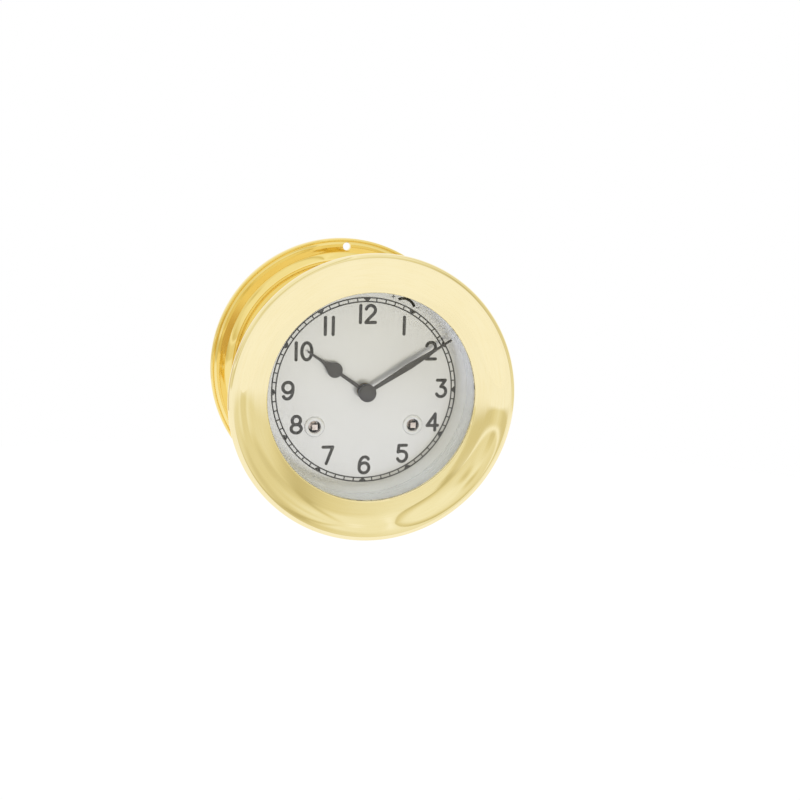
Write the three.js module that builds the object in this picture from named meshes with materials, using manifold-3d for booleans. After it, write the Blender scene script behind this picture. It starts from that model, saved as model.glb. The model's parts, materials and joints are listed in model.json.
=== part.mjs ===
// A brass wall clock of the ship's-bell kind: a round case on a screw flange, a wide dished bezel on a hinge,
// a silvered dial behind glass, and an eight-day striking movement with two winding arbors and a bell.
// Millimetres. The clock's axis is Y: the dial faces -Y, the wall is the plane y = 0, and Z is up.

import * as THREE from 'three';
import { mergeVertices } from 'three/addons/utils/BufferGeometryUtils.js';
import Module from 'manifold-3d';

const wasm = await Module();
wasm.setup();

// Driving dimensions: clearances
const SEAT_GAP = 0.3;            // between pieces that seat on each other
const RUNNING_GAP = 0.08;        // round a pivot or a pipe that turns
const PLAY = 0.3;                // end play of an arbor between the plates

// Driving dimensions: case
const DIAL_RADIUS = 55;
const DIAL_MARGIN = 0.9;         // from the dial's edge to the case wall
const BODY_WALL = 1.6;
const FLANGE_WIDTH = 12.5;
const FLANGE_THICK = 3;
const FLANGE_EDGE = 0.7;         // bevel of the flange's front edge
const FLANGE_COVE = 5.2;         // radius of the hollow between body and flange
const FLANGE_HOLE = 2.1;         // radius of a wall-screw hole
const FLANGE_HOLES = 3;
const FLANGE_HOLE_INSET = 4.35;  // from the flange's edge to the middle of a hole
const FLANGE_TURN = 2;           // degrees that the holes sit clockwise of the dial's twelve
const BACK_WALL = 4;
const LEDGE_WIDTH = 4.4;
const LEDGE_THICK = 3.5;

// Driving dimensions: bezel, measured in depth behind the plane of its outer rim
const BEZEL_OVERHANG = 12.5;
const RIM_ROLL = 1.5;            // radius of the rounding on the outer rim
const RIM_EDGE = 0.7;            // bevel at the back of the rim
const RIM_THICK = 2.8;
const FACE_WIDTH = 13.35;        // from the crest of the rim to the floor of the hollow
const FACE_DEPTH = 4;
const FACE_TURN = 5.47;          // from the crest to where the face turns from round to hollow
const GLASS_LAP = 3.5;           // width of the rebate that the glass sits in
const LIP_BEAD = 0.9;            // radius of the round bead on the inner lip
const LIP_DEPTH = 4.8;
const LIP_WALL = 1.9;
const BEZEL_SEAT = 10;           // depth of the bezel's back, where it meets the case
const SEAT_WIDTH = 4;
const SKIRT_LENGTH = 5;
const SKIRT_WALL = 1;
const SKIRT_GAP = 0.4;
const GLASS_THICK = 2;
const GLASS_RING_THICK = 0.8;
const GLASS_RING_WIDTH = 1.8;
const REFLECTOR_STEP = 1.5;      // reflector's bore outside the bezel opening
const REFLECTOR_WALL = 0.6;
const REFLECTOR_FOOT = 1.5;
const REFLECTOR_FOOT_WIDTH = 2.3;

// Driving dimensions: hinge and catch
const HINGE_STANDOFF = 8.5;      // hinge axis outside the case wall
const KNUCKLE_RADIUS = 2.6;
const HINGE_HALF = 11;
const KNUCKLE_HALF = 4;
const HINGE_PIN = 1.2;
const LEAF_THICK = 1.6;
const LEAF_LENGTH = 12;
const HINGE_SCREW = 1;
const SCREW_HEAD = 1.9;
const SCREW_HEAD_THICK = 0.9;
const CATCH_HALF = 3;
const CATCH_THICK = 0.5;

// Driving dimensions: dial, hands and regulator
const DIAL_DEPTH = 25;           // dial face behind the rim plane
const DIAL_THICK = 1.5;
const DIAL_HOLE_GAP = 0.7;       // round the hour pipe
const WIND_X = 24.95;
const WIND_Z = -17.75;
const WIND_HOLE = 3.05;
const GROMMET_RADIUS = 5.1;
const GROMMET_RISE = 0.9;
const GROMMET_WALL = 0.35;
const SQUARE_SIDE = 2.75;
const SQUARE_RISE = 1.4;
const FEET = 3;
const FOOT_TURN = 90;            // degrees clockwise of twelve of the first foot
const FOOT_RADIUS = 1.5;
const FOOT_INSET = 5;            // from the dial's edge to its feet
const REGULATOR_X = 18;
const REGULATOR_Z = 39.9;
const REGULATOR_ARM = 6.1;
const REGULATOR_FROM = 18;       // degrees of the slot's ends, anticlockwise from three o'clock
const REGULATOR_TO = 113;
const REGULATOR_REST = 96;
const SLOT_WIDTH = 1.4;
const INDEX_RADIUS = 0.5;
const LEVER_THICK = 1;
const MINUTE_ANGLE = 58.2;       // degrees clockwise of twelve
const HOUR_ANGLE = 304.85;
const MINUTE_REACH = 49.6;
const HOUR_REACH = 35.8;
const BOSS_RADIUS = 4.4;
const HAND_THICK = 0.7;
const MOTION_GAP = 0.4;          // between the motion wheels, and behind them
const MOTION_WHEEL = 1.2;
const HOUR_HAND_RISE = 2.5;      // back of each hand in front of the dial
const MINUTE_HAND_RISE = 5.1;
const NUT_HEIGHT = 2.2;
const BULB_AT = 19.1;            // the spade's round bulb, from the clock's centre
const BULB_RADIUS = 3.8;
const STEM_HALF = 0.9;           // half widths of the hands
const LEAF_HALF = 1.55;
const POINT_HALF = 0.5;
const POINT_ROUND = 0.4;         // how far from its end a hand's point starts to close

// Driving dimensions: movement frame, from the dial towards the wall
const MOTION_SPACE = 6;
const PLATE_THICK = 2;
const BACK_PLATE_GAP = 1.5;      // from the case's ledge to the back plate's edge
const PILLAR_RADIUS = 3;
const PILLAR_INSET = 4;
const PILLAR_HEADINGS = [45, 135, 270];
const CASE_SCREW = 1.2;
const CASE_SCREW_INSET = 2;
const CASE_SCREWS = 3;
const PIVOT = 0.6;
const ARBOR = 0.85;
const FINE_ARBOR = 0.7;
const CENTRE_ARBOR = 1.2;
const CANNON_PIPE = 2.1;
const HOUR_PIPE = 3.3;
const STUD = 1.2;                // posts that small levers and the minute wheel turn on
const STUD_RING = 1.3;           // metal round such a post
const BALANCE_SPACE = 7.5;
const BELL_CLEARANCE = 3;
const BELL_HEIGHT = 14;
const BELL_RADIUS = 40;
const BELL_WALL = 1.5;
const BELL_POST = 4;
const BELL_STUD = 2;
const BELL_FOOT = 5;
const BELL_NUT = 4.2;
const BELL_NUT_THICK = 2.8;

// Driving dimensions: wheels, as teeth and module
const GREAT = { teeth: 56, module: 0.7 };
const SECOND_PINION = { teeth: 8, module: 0.7 };
const SECOND = { teeth: 60, module: 0.4 };
const CENTRE_PINION = { teeth: 10, module: 0.4 };
const CENTRE = { teeth: 64, module: 0.38 };
const THIRD_PINION = { teeth: 8, module: 0.38 };
const THIRD = { teeth: 60, module: 0.38 };
const FOURTH_PINION = { teeth: 8, module: 0.38 };
const FOURTH = { teeth: 60, module: 0.36 };
const ESCAPE_PINION = { teeth: 6, module: 0.36 };
const STRIKE_PINION = { teeth: 8, module: 0.4 };
const STRIKE_THIRD = { teeth: 60, module: 0.35 };
const FLY_PINION = { teeth: 8, module: 0.35 };
const CANNON = { teeth: 12, module: 0.5 };
const MINUTE = { teeth: 36, module: 0.5 };
const MINUTE_PINION = { teeth: 10, module: 0.48 };
const HOUR = { teeth: 40, module: 0.48 };
const DRUM_RADIUS = 16.2;
const DRUM_WALL = 1;
const BARREL_ARBOR = 2.5;
const BARREL_PIVOT = 1.5;
const BARREL_HUB = 3.7;
const SPRING_THICK = 0.5;
const SPRING_TURNS = 4;
const SPRING_ROOM = 1;
const RATCHET_RADIUS = 7;
const RATCHET_TEETH = 24;
const RATCHET_THICK = 1.5;
const RATCHET_TOOTH = 0.8;
const CLICK_GAP = 0.7;           // from the ratchet's tips to the resting click
const CLICK_REACH = 11.5;
const CLICK_NOSE = 0.4;
const CLICK_LEAN = 65;           // degrees from straight up to the click's nose, seen from the arbor
const ESCAPE_RADIUS = 5;
const ESCAPE_TEETH = 15;
const ESCAPE_TOOTH = 1.3;
const PALLET_GAP = 0.7;
const PALLET_WIDTH = 1.1;
const ROLLER_RADIUS = 1.5;
const PALLET_REACH = 6.2;
const FORK_REACH = 9.5;
const BALANCE_RADIUS = 8.5;
const STAFF = 0.8;
const BALANCE_RIM = 1.4;
const BALANCE_RING = 1.2;
const RIM_OFFSET = 1.1;          // balance rim from the back plate, and hairspring from the rim
const HAIRSPRING_WIDTH = 0.8;
const COCK_THICK = 2;
const COCK_FOOT = 3;
const BALANCE_CLEAR = 0.7;        // from the balance rim to the cock's foot
const COIL_INSET = 1;            // from the balance rim to the hairspring's outer turn
const HAMMER_ARM = 29;
const HAMMER_TAIL = 8.2;         // hammer's pivot from the edge of the pin wheel
const HAMMER_THICK = 2;
const HAMMER_WIDTH = 3;
const PIN_INSET = 2;             // lifting pins from the roots of the wheel's teeth
const HAMMER_HEAD = 2.8;
const HAMMER_GAP = 1.4;
const HAMMER_ARBOR = 1.2;
const LIFTING_PINS = 8;
const FLY_REACH = 6.8;

// Driving dimensions: where the wheels lie between the plates
const WHEEL_THICK = 1;
const PINION_SPARE = 0.4;        // a pinion stands out this far on both sides of its wheel
const LEVEL_GAP = 0.4;
const DRUM_SPACE = 6;            // front plate to the spring barrels
const DRUM_LENGTH = 11.6;
const GREAT_THICK = 2;
const TAIL_THICK = 0.8;
const BACK_SPACE = 1.4;
const FIRST_WHEEL = 8;           // front plate to the centre wheel
const WHEEL_STEP = 4;            // from each wheel of the going train to the next
const STRIKE_SPACE = 3.5;
const FLY_LENGTH = 8;

// Toothing: a wheel has pointed teeth, a pinion has narrow leaves with flat tips
const ADDENDUM = 0.75;
const DEDENDUM = 1.2;
const LEAF_ROOT = 0.25;
const LEAF_TIP = 0.09;

// Facets of round pieces
const LARGE = 48;
const INNER = 32;
const MEDIUM = 20;
const SMALL = 12;
const TINY = 8;
const PIN = 6;
const COVE_STEPS = 4;

// Radii that follow from the driving dimensions
const mouthRadius = DIAL_RADIUS + DIAL_MARGIN;
const bodyRadius = mouthRadius + BODY_WALL;
const flangeRadius = bodyRadius + FLANGE_WIDTH;
const flangeHoleCircle = flangeRadius - FLANGE_HOLE_INSET;
const bezelRadius = bodyRadius + BEZEL_OVERHANG;
const ledgeRadius = mouthRadius - LEDGE_WIDTH;
const frontPlateRadius = mouthRadius - 2 * SEAT_GAP;
const backPlateRadius = ledgeRadius - BACK_PLATE_GAP;
const pillarCircle = backPlateRadius - PILLAR_INSET;
const footCircle = DIAL_RADIUS - FOOT_INSET;
const caseScrewCircle = frontPlateRadius - CASE_SCREW_INSET;
const skirtRadius = mouthRadius - SKIRT_GAP;
const recessRadius = skirtRadius - SKIRT_WALL;
const glassRadius = recessRadius - SEAT_GAP;
const openingRadius = recessRadius - GLASS_LAP;
const reflectorBore = openingRadius + REFLECTOR_STEP;

// Depths behind the rim plane that follow from the driving dimensions
const glassSeat = LIP_DEPTH + LIP_WALL;
const glassFront = glassSeat + SEAT_GAP;
const glassRingFront = glassFront + GLASS_THICK + SEAT_GAP;
const reflectorFront = glassRingFront + GLASS_RING_THICK + SEAT_GAP;
const reflectorBack = DIAL_DEPTH - SEAT_GAP;
const reflectorFoot = reflectorBack - REFLECTOR_FOOT;
const mouthDepth = BEZEL_SEAT + SEAT_GAP;
const dialBack = DIAL_DEPTH + DIAL_THICK;
const plateFront = dialBack + MOTION_SPACE;
const trainFront = plateFront + PLATE_THICK;
const drumFront = trainFront + DRUM_SPACE;
const drumBack = drumFront + DRUM_LENGTH;
const greatFront = drumBack + LEVEL_GAP;
const greatBack = greatFront + GREAT_THICK;
const tailFront = greatBack + LEVEL_GAP;
const tailBack = tailFront + TAIL_THICK;
const secondFront = tailBack + LEVEL_GAP;
const trainBack = secondFront + WHEEL_THICK + BACK_SPACE;
const plateBack = trainBack + PLATE_THICK;
const cockBack = plateBack + BALANCE_SPACE;
const bellRim = cockBack + BELL_CLEARANCE;
const bellCrown = bellRim + BELL_HEIGHT;
const innerBack = bellCrown + BELL_POST;
const caseDepth = innerBack + BACK_WALL;

// Finishes
const brass = () => new THREE.MeshStandardMaterial({ color: 0xe2b04a, roughness: 0.12, metalness: 1 });
const plateBrass = () => new THREE.MeshStandardMaterial({ color: 0xc79a45, roughness: 0.35, metalness: 1 });
const steel = () => new THREE.MeshStandardMaterial({ color: 0xb9bcc0, roughness: 0.3, metalness: 1 });
const silver = () => new THREE.MeshStandardMaterial({ color: 0xd9d9d7, roughness: 0.4, metalness: 0.6 });
const black = () => new THREE.MeshStandardMaterial({ color: 0x3a3a3c, roughness: 0.5, metalness: 0.2 });
const bellMetal = () => new THREE.MeshStandardMaterial({ color: 0xc9ad72, roughness: 0.2, metalness: 1 });
const clearGlass = () => new THREE.MeshStandardMaterial({
  color: 0xf4f8f8, roughness: 0.02, metalness: 0, transparent: true, opacity: 0.2,
});

const clock = new THREE.Group();
const degrees = (angle) => THREE.MathUtils.degToRad(angle);
const behind = (depth) => depth - caseDepth;
const polar = (radius, angle, from = [0, 0]) => [
  from[0] + radius * Math.cos(degrees(angle)),
  from[1] + radius * Math.sin(degrees(angle)),
];
const distance = (a, b) => Math.hypot(b[0] - a[0], b[1] - a[1]);
const heading = (a, b) => THREE.MathUtils.radToDeg(Math.atan2(b[1] - a[1], b[0] - a[0]));

function add(name, geometry, material, at = [0, 0]) {
  const mesh = new THREE.Mesh(geometry, material);
  mesh.name = name;
  mesh.position.set(at[0], 0, at[1]);
  clock.add(mesh);
}

// A closed mesh with shared vertices, no empty triangles and its faces pointing out
function closed(geometry) {
  geometry.deleteAttribute('normal');
  geometry.deleteAttribute('uv');
  const merged = mergeVertices(geometry);
  const index = merged.index.array;
  const place = merged.attributes.position;
  const corner = [0, 1, 2].map(() => new THREE.Vector3());
  const kept = [];
  let volume = 0;
  for (let i = 0; i < index.length; i += 3) {
    const [a, b, c] = index.slice(i, i + 3);
    if (a === b || b === c || c === a) continue;
    kept.push(a, b, c);
    [a, b, c].forEach((vertex, k) => corner[k].fromBufferAttribute(place, vertex));
    volume += corner[0].dot(corner[1].cross(corner[2]));
  }
  merged.setIndex(volume > 0 ? kept : kept.reverse());
  merged.clearGroups();
  return merged;
}

function solid(geometry) {
  return new wasm.Manifold(new wasm.Mesh({
    numProp: 3,
    vertProperties: new Float32Array(geometry.attributes.position.array),
    triVerts: new Uint32Array(geometry.index.array),
  }));
}

function shell(body) {
  const mesh = body.getMesh();
  const geometry = new THREE.BufferGeometry();
  geometry.setAttribute('position', new THREE.BufferAttribute(mesh.vertProperties, 3));
  geometry.setIndex(new THREE.BufferAttribute(mesh.triVerts, 1));
  return geometry;
}

const join = (...pieces) => shell(pieces.map(solid).reduce((a, b) => a.add(b)));
const cut = (piece, ...tools) => shell(tools.map(solid).reduce((a, b) => a.subtract(b), solid(piece)));

// A piece turned about the clock's axis, or one parallel to it, from a closed profile of [radius, depth]
function turned(profile, facets) {
  const points = profile.map(([radius, depth]) => new THREE.Vector2(radius, behind(depth)));
  const first = points[0];
  const last = points[points.length - 1];
  if (first.x > 0 || last.x > 0) points.push(first.clone());
  return closed(new THREE.LatheGeometry(points, facets));
}

// A round bar, or a tube if it has a bore, between two depths
function bar(radius, front, back, facets, bore = 0) {
  const profile = [[bore, front], [radius, front], [radius, back], [bore, back]];
  return turned(profile, facets);
}

const shift = (geometry, [x, z]) => geometry.translate(x, 0, z);

// A flat piece seen from the front as an outline in X and Z, between two depths
function flat(outline, front, back, holes = []) {
  const shape = new THREE.Shape(outline);
  shape.holes = holes.map((points) => new THREE.Path(points));
  const geometry = new THREE.ExtrudeGeometry(shape, { depth: back - front, bevelEnabled: false });
  geometry.rotateX(Math.PI / 2);
  geometry.translate(0, behind(back), 0);
  return closed(geometry);
}

const round = (radius, facets, [x, z] = [0, 0]) => new THREE.EllipseCurve(x, z, radius, radius)
  .getPoints(facets).slice(0, -1);

// A straight strip of given half widths at each end, with its length along a heading
function strip(from, to, startHalf, endHalf) {
  const along = heading(from, to);
  return [
    polar(startHalf, along - 90, from), polar(endHalf, along - 90, to),
    polar(endHalf, along + 90, to), polar(startHalf, along + 90, from),
  ].map(([x, z]) => new THREE.Vector2(x, z));
}

// Part of a ring between two radii and two angles
function sector(inner, outer, from, to, steps, centre = [0, 0]) {
  const outline = [];
  for (let i = 0; i <= steps; i += 1) outline.push(polar(outer, from + (to - from) * i / steps, centre));
  for (let i = steps; i >= 0; i -= 1) outline.push(polar(inner, from + (to - from) * i / steps, centre));
  return outline.map(([x, z]) => new THREE.Vector2(x, z));
}

const pitchRadius = ({ teeth, module }) => teeth * module / 2;
const tipRadius = (gear) => pitchRadius(gear) + ADDENDUM * gear.module;
const rootRadius = (gear) => pitchRadius(gear) - DEDENDUM * gear.module;
const centres = (a, b) => pitchRadius(a) + pitchRadius(b);

function wheelOutline(gear, phase) {
  const outline = [];
  for (let i = 0; i < gear.teeth; i += 1) {
    outline.push(polar(tipRadius(gear), phase + 360 * i / gear.teeth));
    outline.push(polar(rootRadius(gear), phase + 360 * (i + 0.5) / gear.teeth));
  }
  return outline.map(([x, z]) => new THREE.Vector2(x, z));
}

function pinionOutline(gear, phase) {
  const outline = [];
  for (let i = 0; i < gear.teeth; i += 1) {
    const at = (part) => phase + 360 * (i + part) / gear.teeth;
    outline.push(polar(rootRadius(gear), at(-LEAF_ROOT)), polar(tipRadius(gear), at(-LEAF_TIP)));
    outline.push(polar(tipRadius(gear), at(LEAF_TIP)), polar(rootRadius(gear), at(LEAF_ROOT)));
  }
  return outline.map(([x, z]) => new THREE.Vector2(x, z));
}

// Pointed teeth leaning one way, for the ratchets and the escape wheel
function sawOutline(teeth, tip, root) {
  const outline = [];
  for (let i = 0; i < teeth; i += 1) {
    outline.push(polar(tip, 360 * i / teeth), polar(root, 360 * (i + 0.25) / teeth));
  }
  return outline.map(([x, z]) => new THREE.Vector2(x, z));
}

// The turn of a driven gear that puts one of its gaps opposite a tooth of the driver
function meshed(driver, phase, at, driven, drivenAt) {
  const line = heading(at, drivenAt);
  const teethToLine = (line - phase) * driver.teeth / 360;
  return line + 180 - (0.5 - teethToLine) * 360 / driven.teeth;
}

// An arbor with a pivot at each end, held between the plates
function arbor(radius) {
  const ends = PLATE_THICK - PLAY;
  return turned([
    [0, trainFront - ends], [PIVOT, trainFront - ends], [PIVOT, trainFront + PLAY],
    [radius, trainFront + PLAY], [radius, trainBack - PLAY], [PIVOT, trainBack - PLAY],
    [PIVOT, trainBack + ends], [0, trainBack + ends],
  ], TINY);
}

// Where the arbors stand, seen from the front as [X, Z]
const centre = [0, 0];
const timeBarrel = [WIND_X, WIND_Z];
const strikeBarrel = [-WIND_X, WIND_Z];

// The point at given distances from two others, on the left of the way from one to the other
function reach(a, radiusA, b, radiusB) {
  const span = distance(a, b);
  const along = (radiusA ** 2 - radiusB ** 2 + span ** 2) / (2 * span);
  const turn = THREE.MathUtils.radToDeg(Math.acos(along / radiusA));
  return polar(radiusA, heading(a, b) + turn, a);
}

const HEADINGS = {
  third: 110, fourth: 75, escape: 30, pallet: 120, balance: 170, cock: 200,
  pinWheel: 100, strikeThird: 60, fly: 75, hammer: 110, timeClick: 60, strikeClick: 120,
};
const second = reach(centre, centres(SECOND, CENTRE_PINION), timeBarrel, centres(GREAT, SECOND_PINION));
const third = polar(centres(CENTRE, THIRD_PINION), HEADINGS.third);
const fourth = polar(centres(THIRD, FOURTH_PINION), HEADINGS.fourth, third);
const escape = polar(centres(FOURTH, ESCAPE_PINION), HEADINGS.escape, fourth);
const pallet = polar(PALLET_REACH, HEADINGS.pallet, escape);
const balance = polar(FORK_REACH, HEADINGS.balance, pallet);
const cockFoot = polar(BALANCE_RADIUS + COCK_FOOT + BALANCE_CLEAR, HEADINGS.cock, balance);
const pinWheel = polar(centres(GREAT, SECOND_PINION), HEADINGS.pinWheel, strikeBarrel);
const strikeThird = polar(centres(SECOND, STRIKE_PINION), HEADINGS.strikeThird, pinWheel);
const fly = polar(centres(STRIKE_THIRD, FLY_PINION), HEADINGS.fly, strikeThird);
const hammer = polar(tipRadius(SECOND) + HAMMER_TAIL, HEADINGS.hammer, pinWheel);
const minuteStud = [0, centres(CANNON, MINUTE)];
const timeClick = polar(CLICK_REACH, HEADINGS.timeClick, timeBarrel);
const strikeClick = polar(CLICK_REACH, HEADINGS.strikeClick, strikeBarrel);
const regulator = [REGULATOR_X, REGULATOR_Z];

// Front and back of each wheel, and of the pinion that meets it
const thick = (front) => [front, front + WHEEL_THICK];
const spare = ([front, back]) => [front - PINION_SPARE, back + PINION_SPARE];
const greatLevel = [greatFront, greatBack];
const secondLevel = thick(secondFront);
const centreLevel = thick(trainFront + FIRST_WHEEL);
const thirdLevel = thick(centreLevel[0] + WHEEL_STEP);
const fourthLevel = thick(thirdLevel[0] + WHEEL_STEP);
const escapeLevel = thick(fourthLevel[0] + WHEEL_STEP);
const strikeThirdLevel = thick(trainFront + STRIKE_SPACE);
const flyFront = strikeThirdLevel[1] + WHEEL_STEP / 2;
const flyLevel = [flyFront, flyFront + FLY_LENGTH];
const tailLevel = [tailFront, tailBack];

// Places of equal spacing on a circle, clockwise from twelve o'clock
const spaced = (count, radius, turn = 0) => Array.from({ length: count }, (_, i) => (
  polar(radius, 90 - turn - 360 * i / count)));

function caseParts() {
  const front = caseDepth - FLANGE_THICK;
  const screws = spaced(CASE_SCREWS, caseScrewCircle);
  const flangeHoles = spaced(FLANGE_HOLES, flangeHoleCircle, FLANGE_TURN);
  const ledgeBack = trainFront + LEDGE_THICK;
  const cove = Array.from({ length: COVE_STEPS + 1 }, (_, i) => {
    const angle = Math.PI / 2 * i / COVE_STEPS;
    return [bodyRadius + FLANGE_COVE * (1 - Math.sin(angle)), front - FLANGE_COVE * (1 - Math.cos(angle))];
  });
  const cup = turned([
    [0, caseDepth], [flangeRadius, caseDepth], [flangeRadius, front + FLANGE_EDGE],
    [flangeRadius - FLANGE_EDGE, front], ...cove, [bodyRadius, mouthDepth], [mouthRadius, mouthDepth],
    [mouthRadius, trainFront], [ledgeRadius, trainFront], [ledgeRadius, ledgeBack],
    [mouthRadius, ledgeBack], [mouthRadius, innerBack], [0, innerBack],
  ], LARGE);
  const drills = [
    ...flangeHoles.map((at) => shift(bar(FLANGE_HOLE, front - 1, caseDepth + 1, SMALL), at)),
    ...screws.map((at) => shift(bar(CASE_SCREW + SEAT_GAP, plateFront, ledgeBack + 1, TINY), at)),
    ...hingeScrewPlaces().map((z) => hingeScrewBar(z, HINGE_SCREW + SEAT_GAP, -BODY_WALL, LEAF_THICK)),
  ];
  add('case_body', cut(cup, ...drills), brass());
  screws.forEach((at, i) => {
    const head = plateFront - 2 * SCREW_HEAD_THICK;
    const screw = turned([
      [0, head], [SCREW_HEAD, head], [SCREW_HEAD, plateFront], [CASE_SCREW, plateFront],
      [CASE_SCREW, ledgeBack], [0, ledgeBack],
    ], TINY);
    add(`movement_screw_${i + 1}`, screw, steel(), at);
  });
}

// The bezel's section, in radius and depth: rounded rim, face that is round outside and hollow inside,
// lip bead, glass rebate, skirt and back. The face's two arcs meet at one slope, so their depths add
// to its own.
function bezelProfile() {
  const bead = (radius, depth, size, from, to, steps) => Array.from({ length: steps + 1 }, (_, i) => {
    const angle = degrees(from + (to - from) * i / steps);
    return [radius + size * Math.cos(angle), depth - size * Math.sin(angle)];
  });
  const slope = 2 * Math.atan(FACE_DEPTH / FACE_WIDTH);
  const steepest = 90 + THREE.MathUtils.radToDeg(slope);
  const crest = bezelRadius - RIM_ROLL;
  const roundSize = FACE_TURN / Math.sin(slope);
  const hollowSize = (FACE_WIDTH - FACE_TURN) / Math.sin(slope);
  const rim = bead(crest, RIM_ROLL, RIM_ROLL, 0, 90, 3);
  const roundFace = bead(crest, roundSize, roundSize, 90, steepest, 3).slice(1);
  const hollowFace = bead(crest - FACE_WIDTH, FACE_DEPTH - hollowSize, -hollowSize, steepest, 90, 4).slice(1);
  const lip = bead(openingRadius + LIP_BEAD, LIP_DEPTH, LIP_BEAD, 40, 180, 3);
  return [
    ...rim, ...roundFace, ...hollowFace, ...lip, [openingRadius, glassSeat], [recessRadius, glassSeat],
    [recessRadius, BEZEL_SEAT + SKIRT_LENGTH], [skirtRadius, BEZEL_SEAT + SKIRT_LENGTH],
    [skirtRadius, BEZEL_SEAT], [skirtRadius + SEAT_WIDTH, BEZEL_SEAT],
    [bezelRadius - RIM_EDGE, RIM_THICK], [bezelRadius, RIM_THICK - RIM_EDGE / 2],
  ];
}

function bezelParts() {
  add('bezel', turned(bezelProfile(), LARGE), brass());
  add('glass', bar(glassRadius, glassFront, glassFront + GLASS_THICK, LARGE), clearGlass());
  const ringBore = glassRadius - GLASS_RING_WIDTH;
  const ringBack = glassRingFront + GLASS_RING_THICK;
  add('glass_ring', bar(glassRadius, glassRingFront, ringBack, INNER, ringBore), brass());
}

// The hinge stands at three o'clock, with its pin upright
const hingeX = bodyRadius + HINGE_STANDOFF;
const hingeDepth = mouthDepth;
const leafDepth = hingeDepth + LEAF_LENGTH;
const hingeScrewDepth = hingeDepth + LEAF_LENGTH / 2 + KNUCKLE_RADIUS / 2;
const hingeScrewPlaces = () => [HINGE_HALF / 2, -HINGE_HALF / 2];

// A piece with an outline in X and depth, between two heights
function upright(outline, low, high) {
  const shape = new THREE.Shape(outline.map(([x, depth]) => new THREE.Vector2(x, behind(depth))));
  const geometry = new THREE.ExtrudeGeometry(shape, { depth: high - low, bevelEnabled: false });
  geometry.translate(0, 0, low);
  return closed(geometry);
}

const knuckle = (radius, low, high, facets) => upright(
  round(radius, facets, [hingeX, hingeDepth]).map(({ x, y }) => [x, y]), low, high);

// A bar pointing outwards through the case wall at a screw of the hinge's case leaf
function hingeScrewBar(z, radius, from, to) {
  const geometry = new THREE.CylinderGeometry(radius, radius, to - from, TINY);
  geometry.rotateZ(Math.PI / 2);
  geometry.translate(bodyRadius + (from + to) / 2, behind(hingeScrewDepth), z);
  return closed(geometry);
}

function hingeParts() {
  const pinHole = knuckle(HINGE_PIN + RUNNING_GAP, -2 * HINGE_HALF, 2 * HINGE_HALF, SMALL);
  const leafOut = bodyRadius + LEAF_THICK;
  const plate = upright([
    [bodyRadius - BODY_WALL, hingeDepth], [leafOut, hingeDepth], [leafOut, leafDepth],
    [bodyRadius - BODY_WALL, leafDepth],
  ], -HINGE_HALF, HINGE_HALF);
  const web = (low, high) => upright([
    [bodyRadius + SEAT_GAP, hingeDepth], [hingeX, hingeDepth], [hingeX, hingeDepth + KNUCKLE_RADIUS],
    [bodyRadius + SEAT_GAP, hingeDepth + KNUCKLE_RADIUS],
  ], low, high);
  const outer = [[KNUCKLE_HALF, HINGE_HALF], [-HINGE_HALF, -KNUCKLE_HALF]];
  const leaf = join(plate, ...outer.flatMap(([low, high]) => [
    web(low, high), knuckle(KNUCKLE_RADIUS, low, high, SMALL)]));
  const body = bar(bodyRadius + SEAT_GAP, mouthDepth, caseDepth, LARGE);
  const holes = hingeScrewPlaces().map((z) => (
    hingeScrewBar(z, HINGE_SCREW + SEAT_GAP, -BODY_WALL, HINGE_STANDOFF)));
  add('hinge_case_leaf', cut(leaf, body, pinHole, ...holes), brass());

  const high = KNUCKLE_HALF - SEAT_GAP;
  const arm = upright([
    [hingeX - KNUCKLE_RADIUS, 0], [hingeX + KNUCKLE_RADIUS / 2, 0],
    [hingeX + KNUCKLE_RADIUS / 2, hingeDepth], [hingeX - KNUCKLE_RADIUS, hingeDepth],
  ], -high, high);
  const bezelBack = turned([
    [0, -1], [bezelRadius + 1, -1], [bezelRadius + 1, RIM_THICK - RIM_EDGE / 2 + SEAT_GAP],
    [bezelRadius, RIM_THICK - RIM_EDGE / 2 + SEAT_GAP], [bezelRadius - RIM_EDGE, RIM_THICK + SEAT_GAP],
    [skirtRadius + SEAT_WIDTH, BEZEL_SEAT + SEAT_GAP], [0, BEZEL_SEAT + SEAT_GAP],
  ], LARGE);
  const bezelLeaf = join(arm, knuckle(KNUCKLE_RADIUS, -high, high, SMALL));
  add('hinge_bezel_leaf', cut(bezelLeaf, bezelBack, pinHole), brass());
  add('hinge_pin', knuckle(HINGE_PIN, -HINGE_HALF - SEAT_GAP, HINGE_HALF + SEAT_GAP, SMALL), steel());
  hingeScrewPlaces().forEach((z, i) => {
    const shank = hingeScrewBar(z, HINGE_SCREW, -BODY_WALL / 2, LEAF_THICK + SCREW_HEAD_THICK);
    const head = hingeScrewBar(z, SCREW_HEAD, LEAF_THICK + SEAT_GAP / 2, LEAF_THICK + SCREW_HEAD_THICK);
    add(`hinge_screw_${i + 1}`, join(shank, head), steel());
  });
}

// The spring catch that holds the bezel shut, inside the case mouth at nine o'clock
function catchPart() {
  const skirtEnd = BEZEL_SEAT + SKIRT_LENGTH;
  const front = skirtEnd + CATCH_THICK;
  const back = reflectorFoot - SEAT_GAP;
  const finger = -(recessRadius - 2 * SEAT_GAP);
  const block = upright([
    [-mouthRadius, front], [finger, front], [finger, skirtEnd - CATCH_THICK],
    [finger + CATCH_THICK, skirtEnd - CATCH_THICK], [finger + CATCH_THICK, back], [-mouthRadius, back],
  ], -CATCH_HALF, CATCH_HALF);
  const wallBore = bar(mouthRadius - SEAT_GAP, 0, caseDepth, LARGE);
  add('bezel_catch', shell(solid(block).intersect(solid(wallBore))), steel());
}

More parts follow.
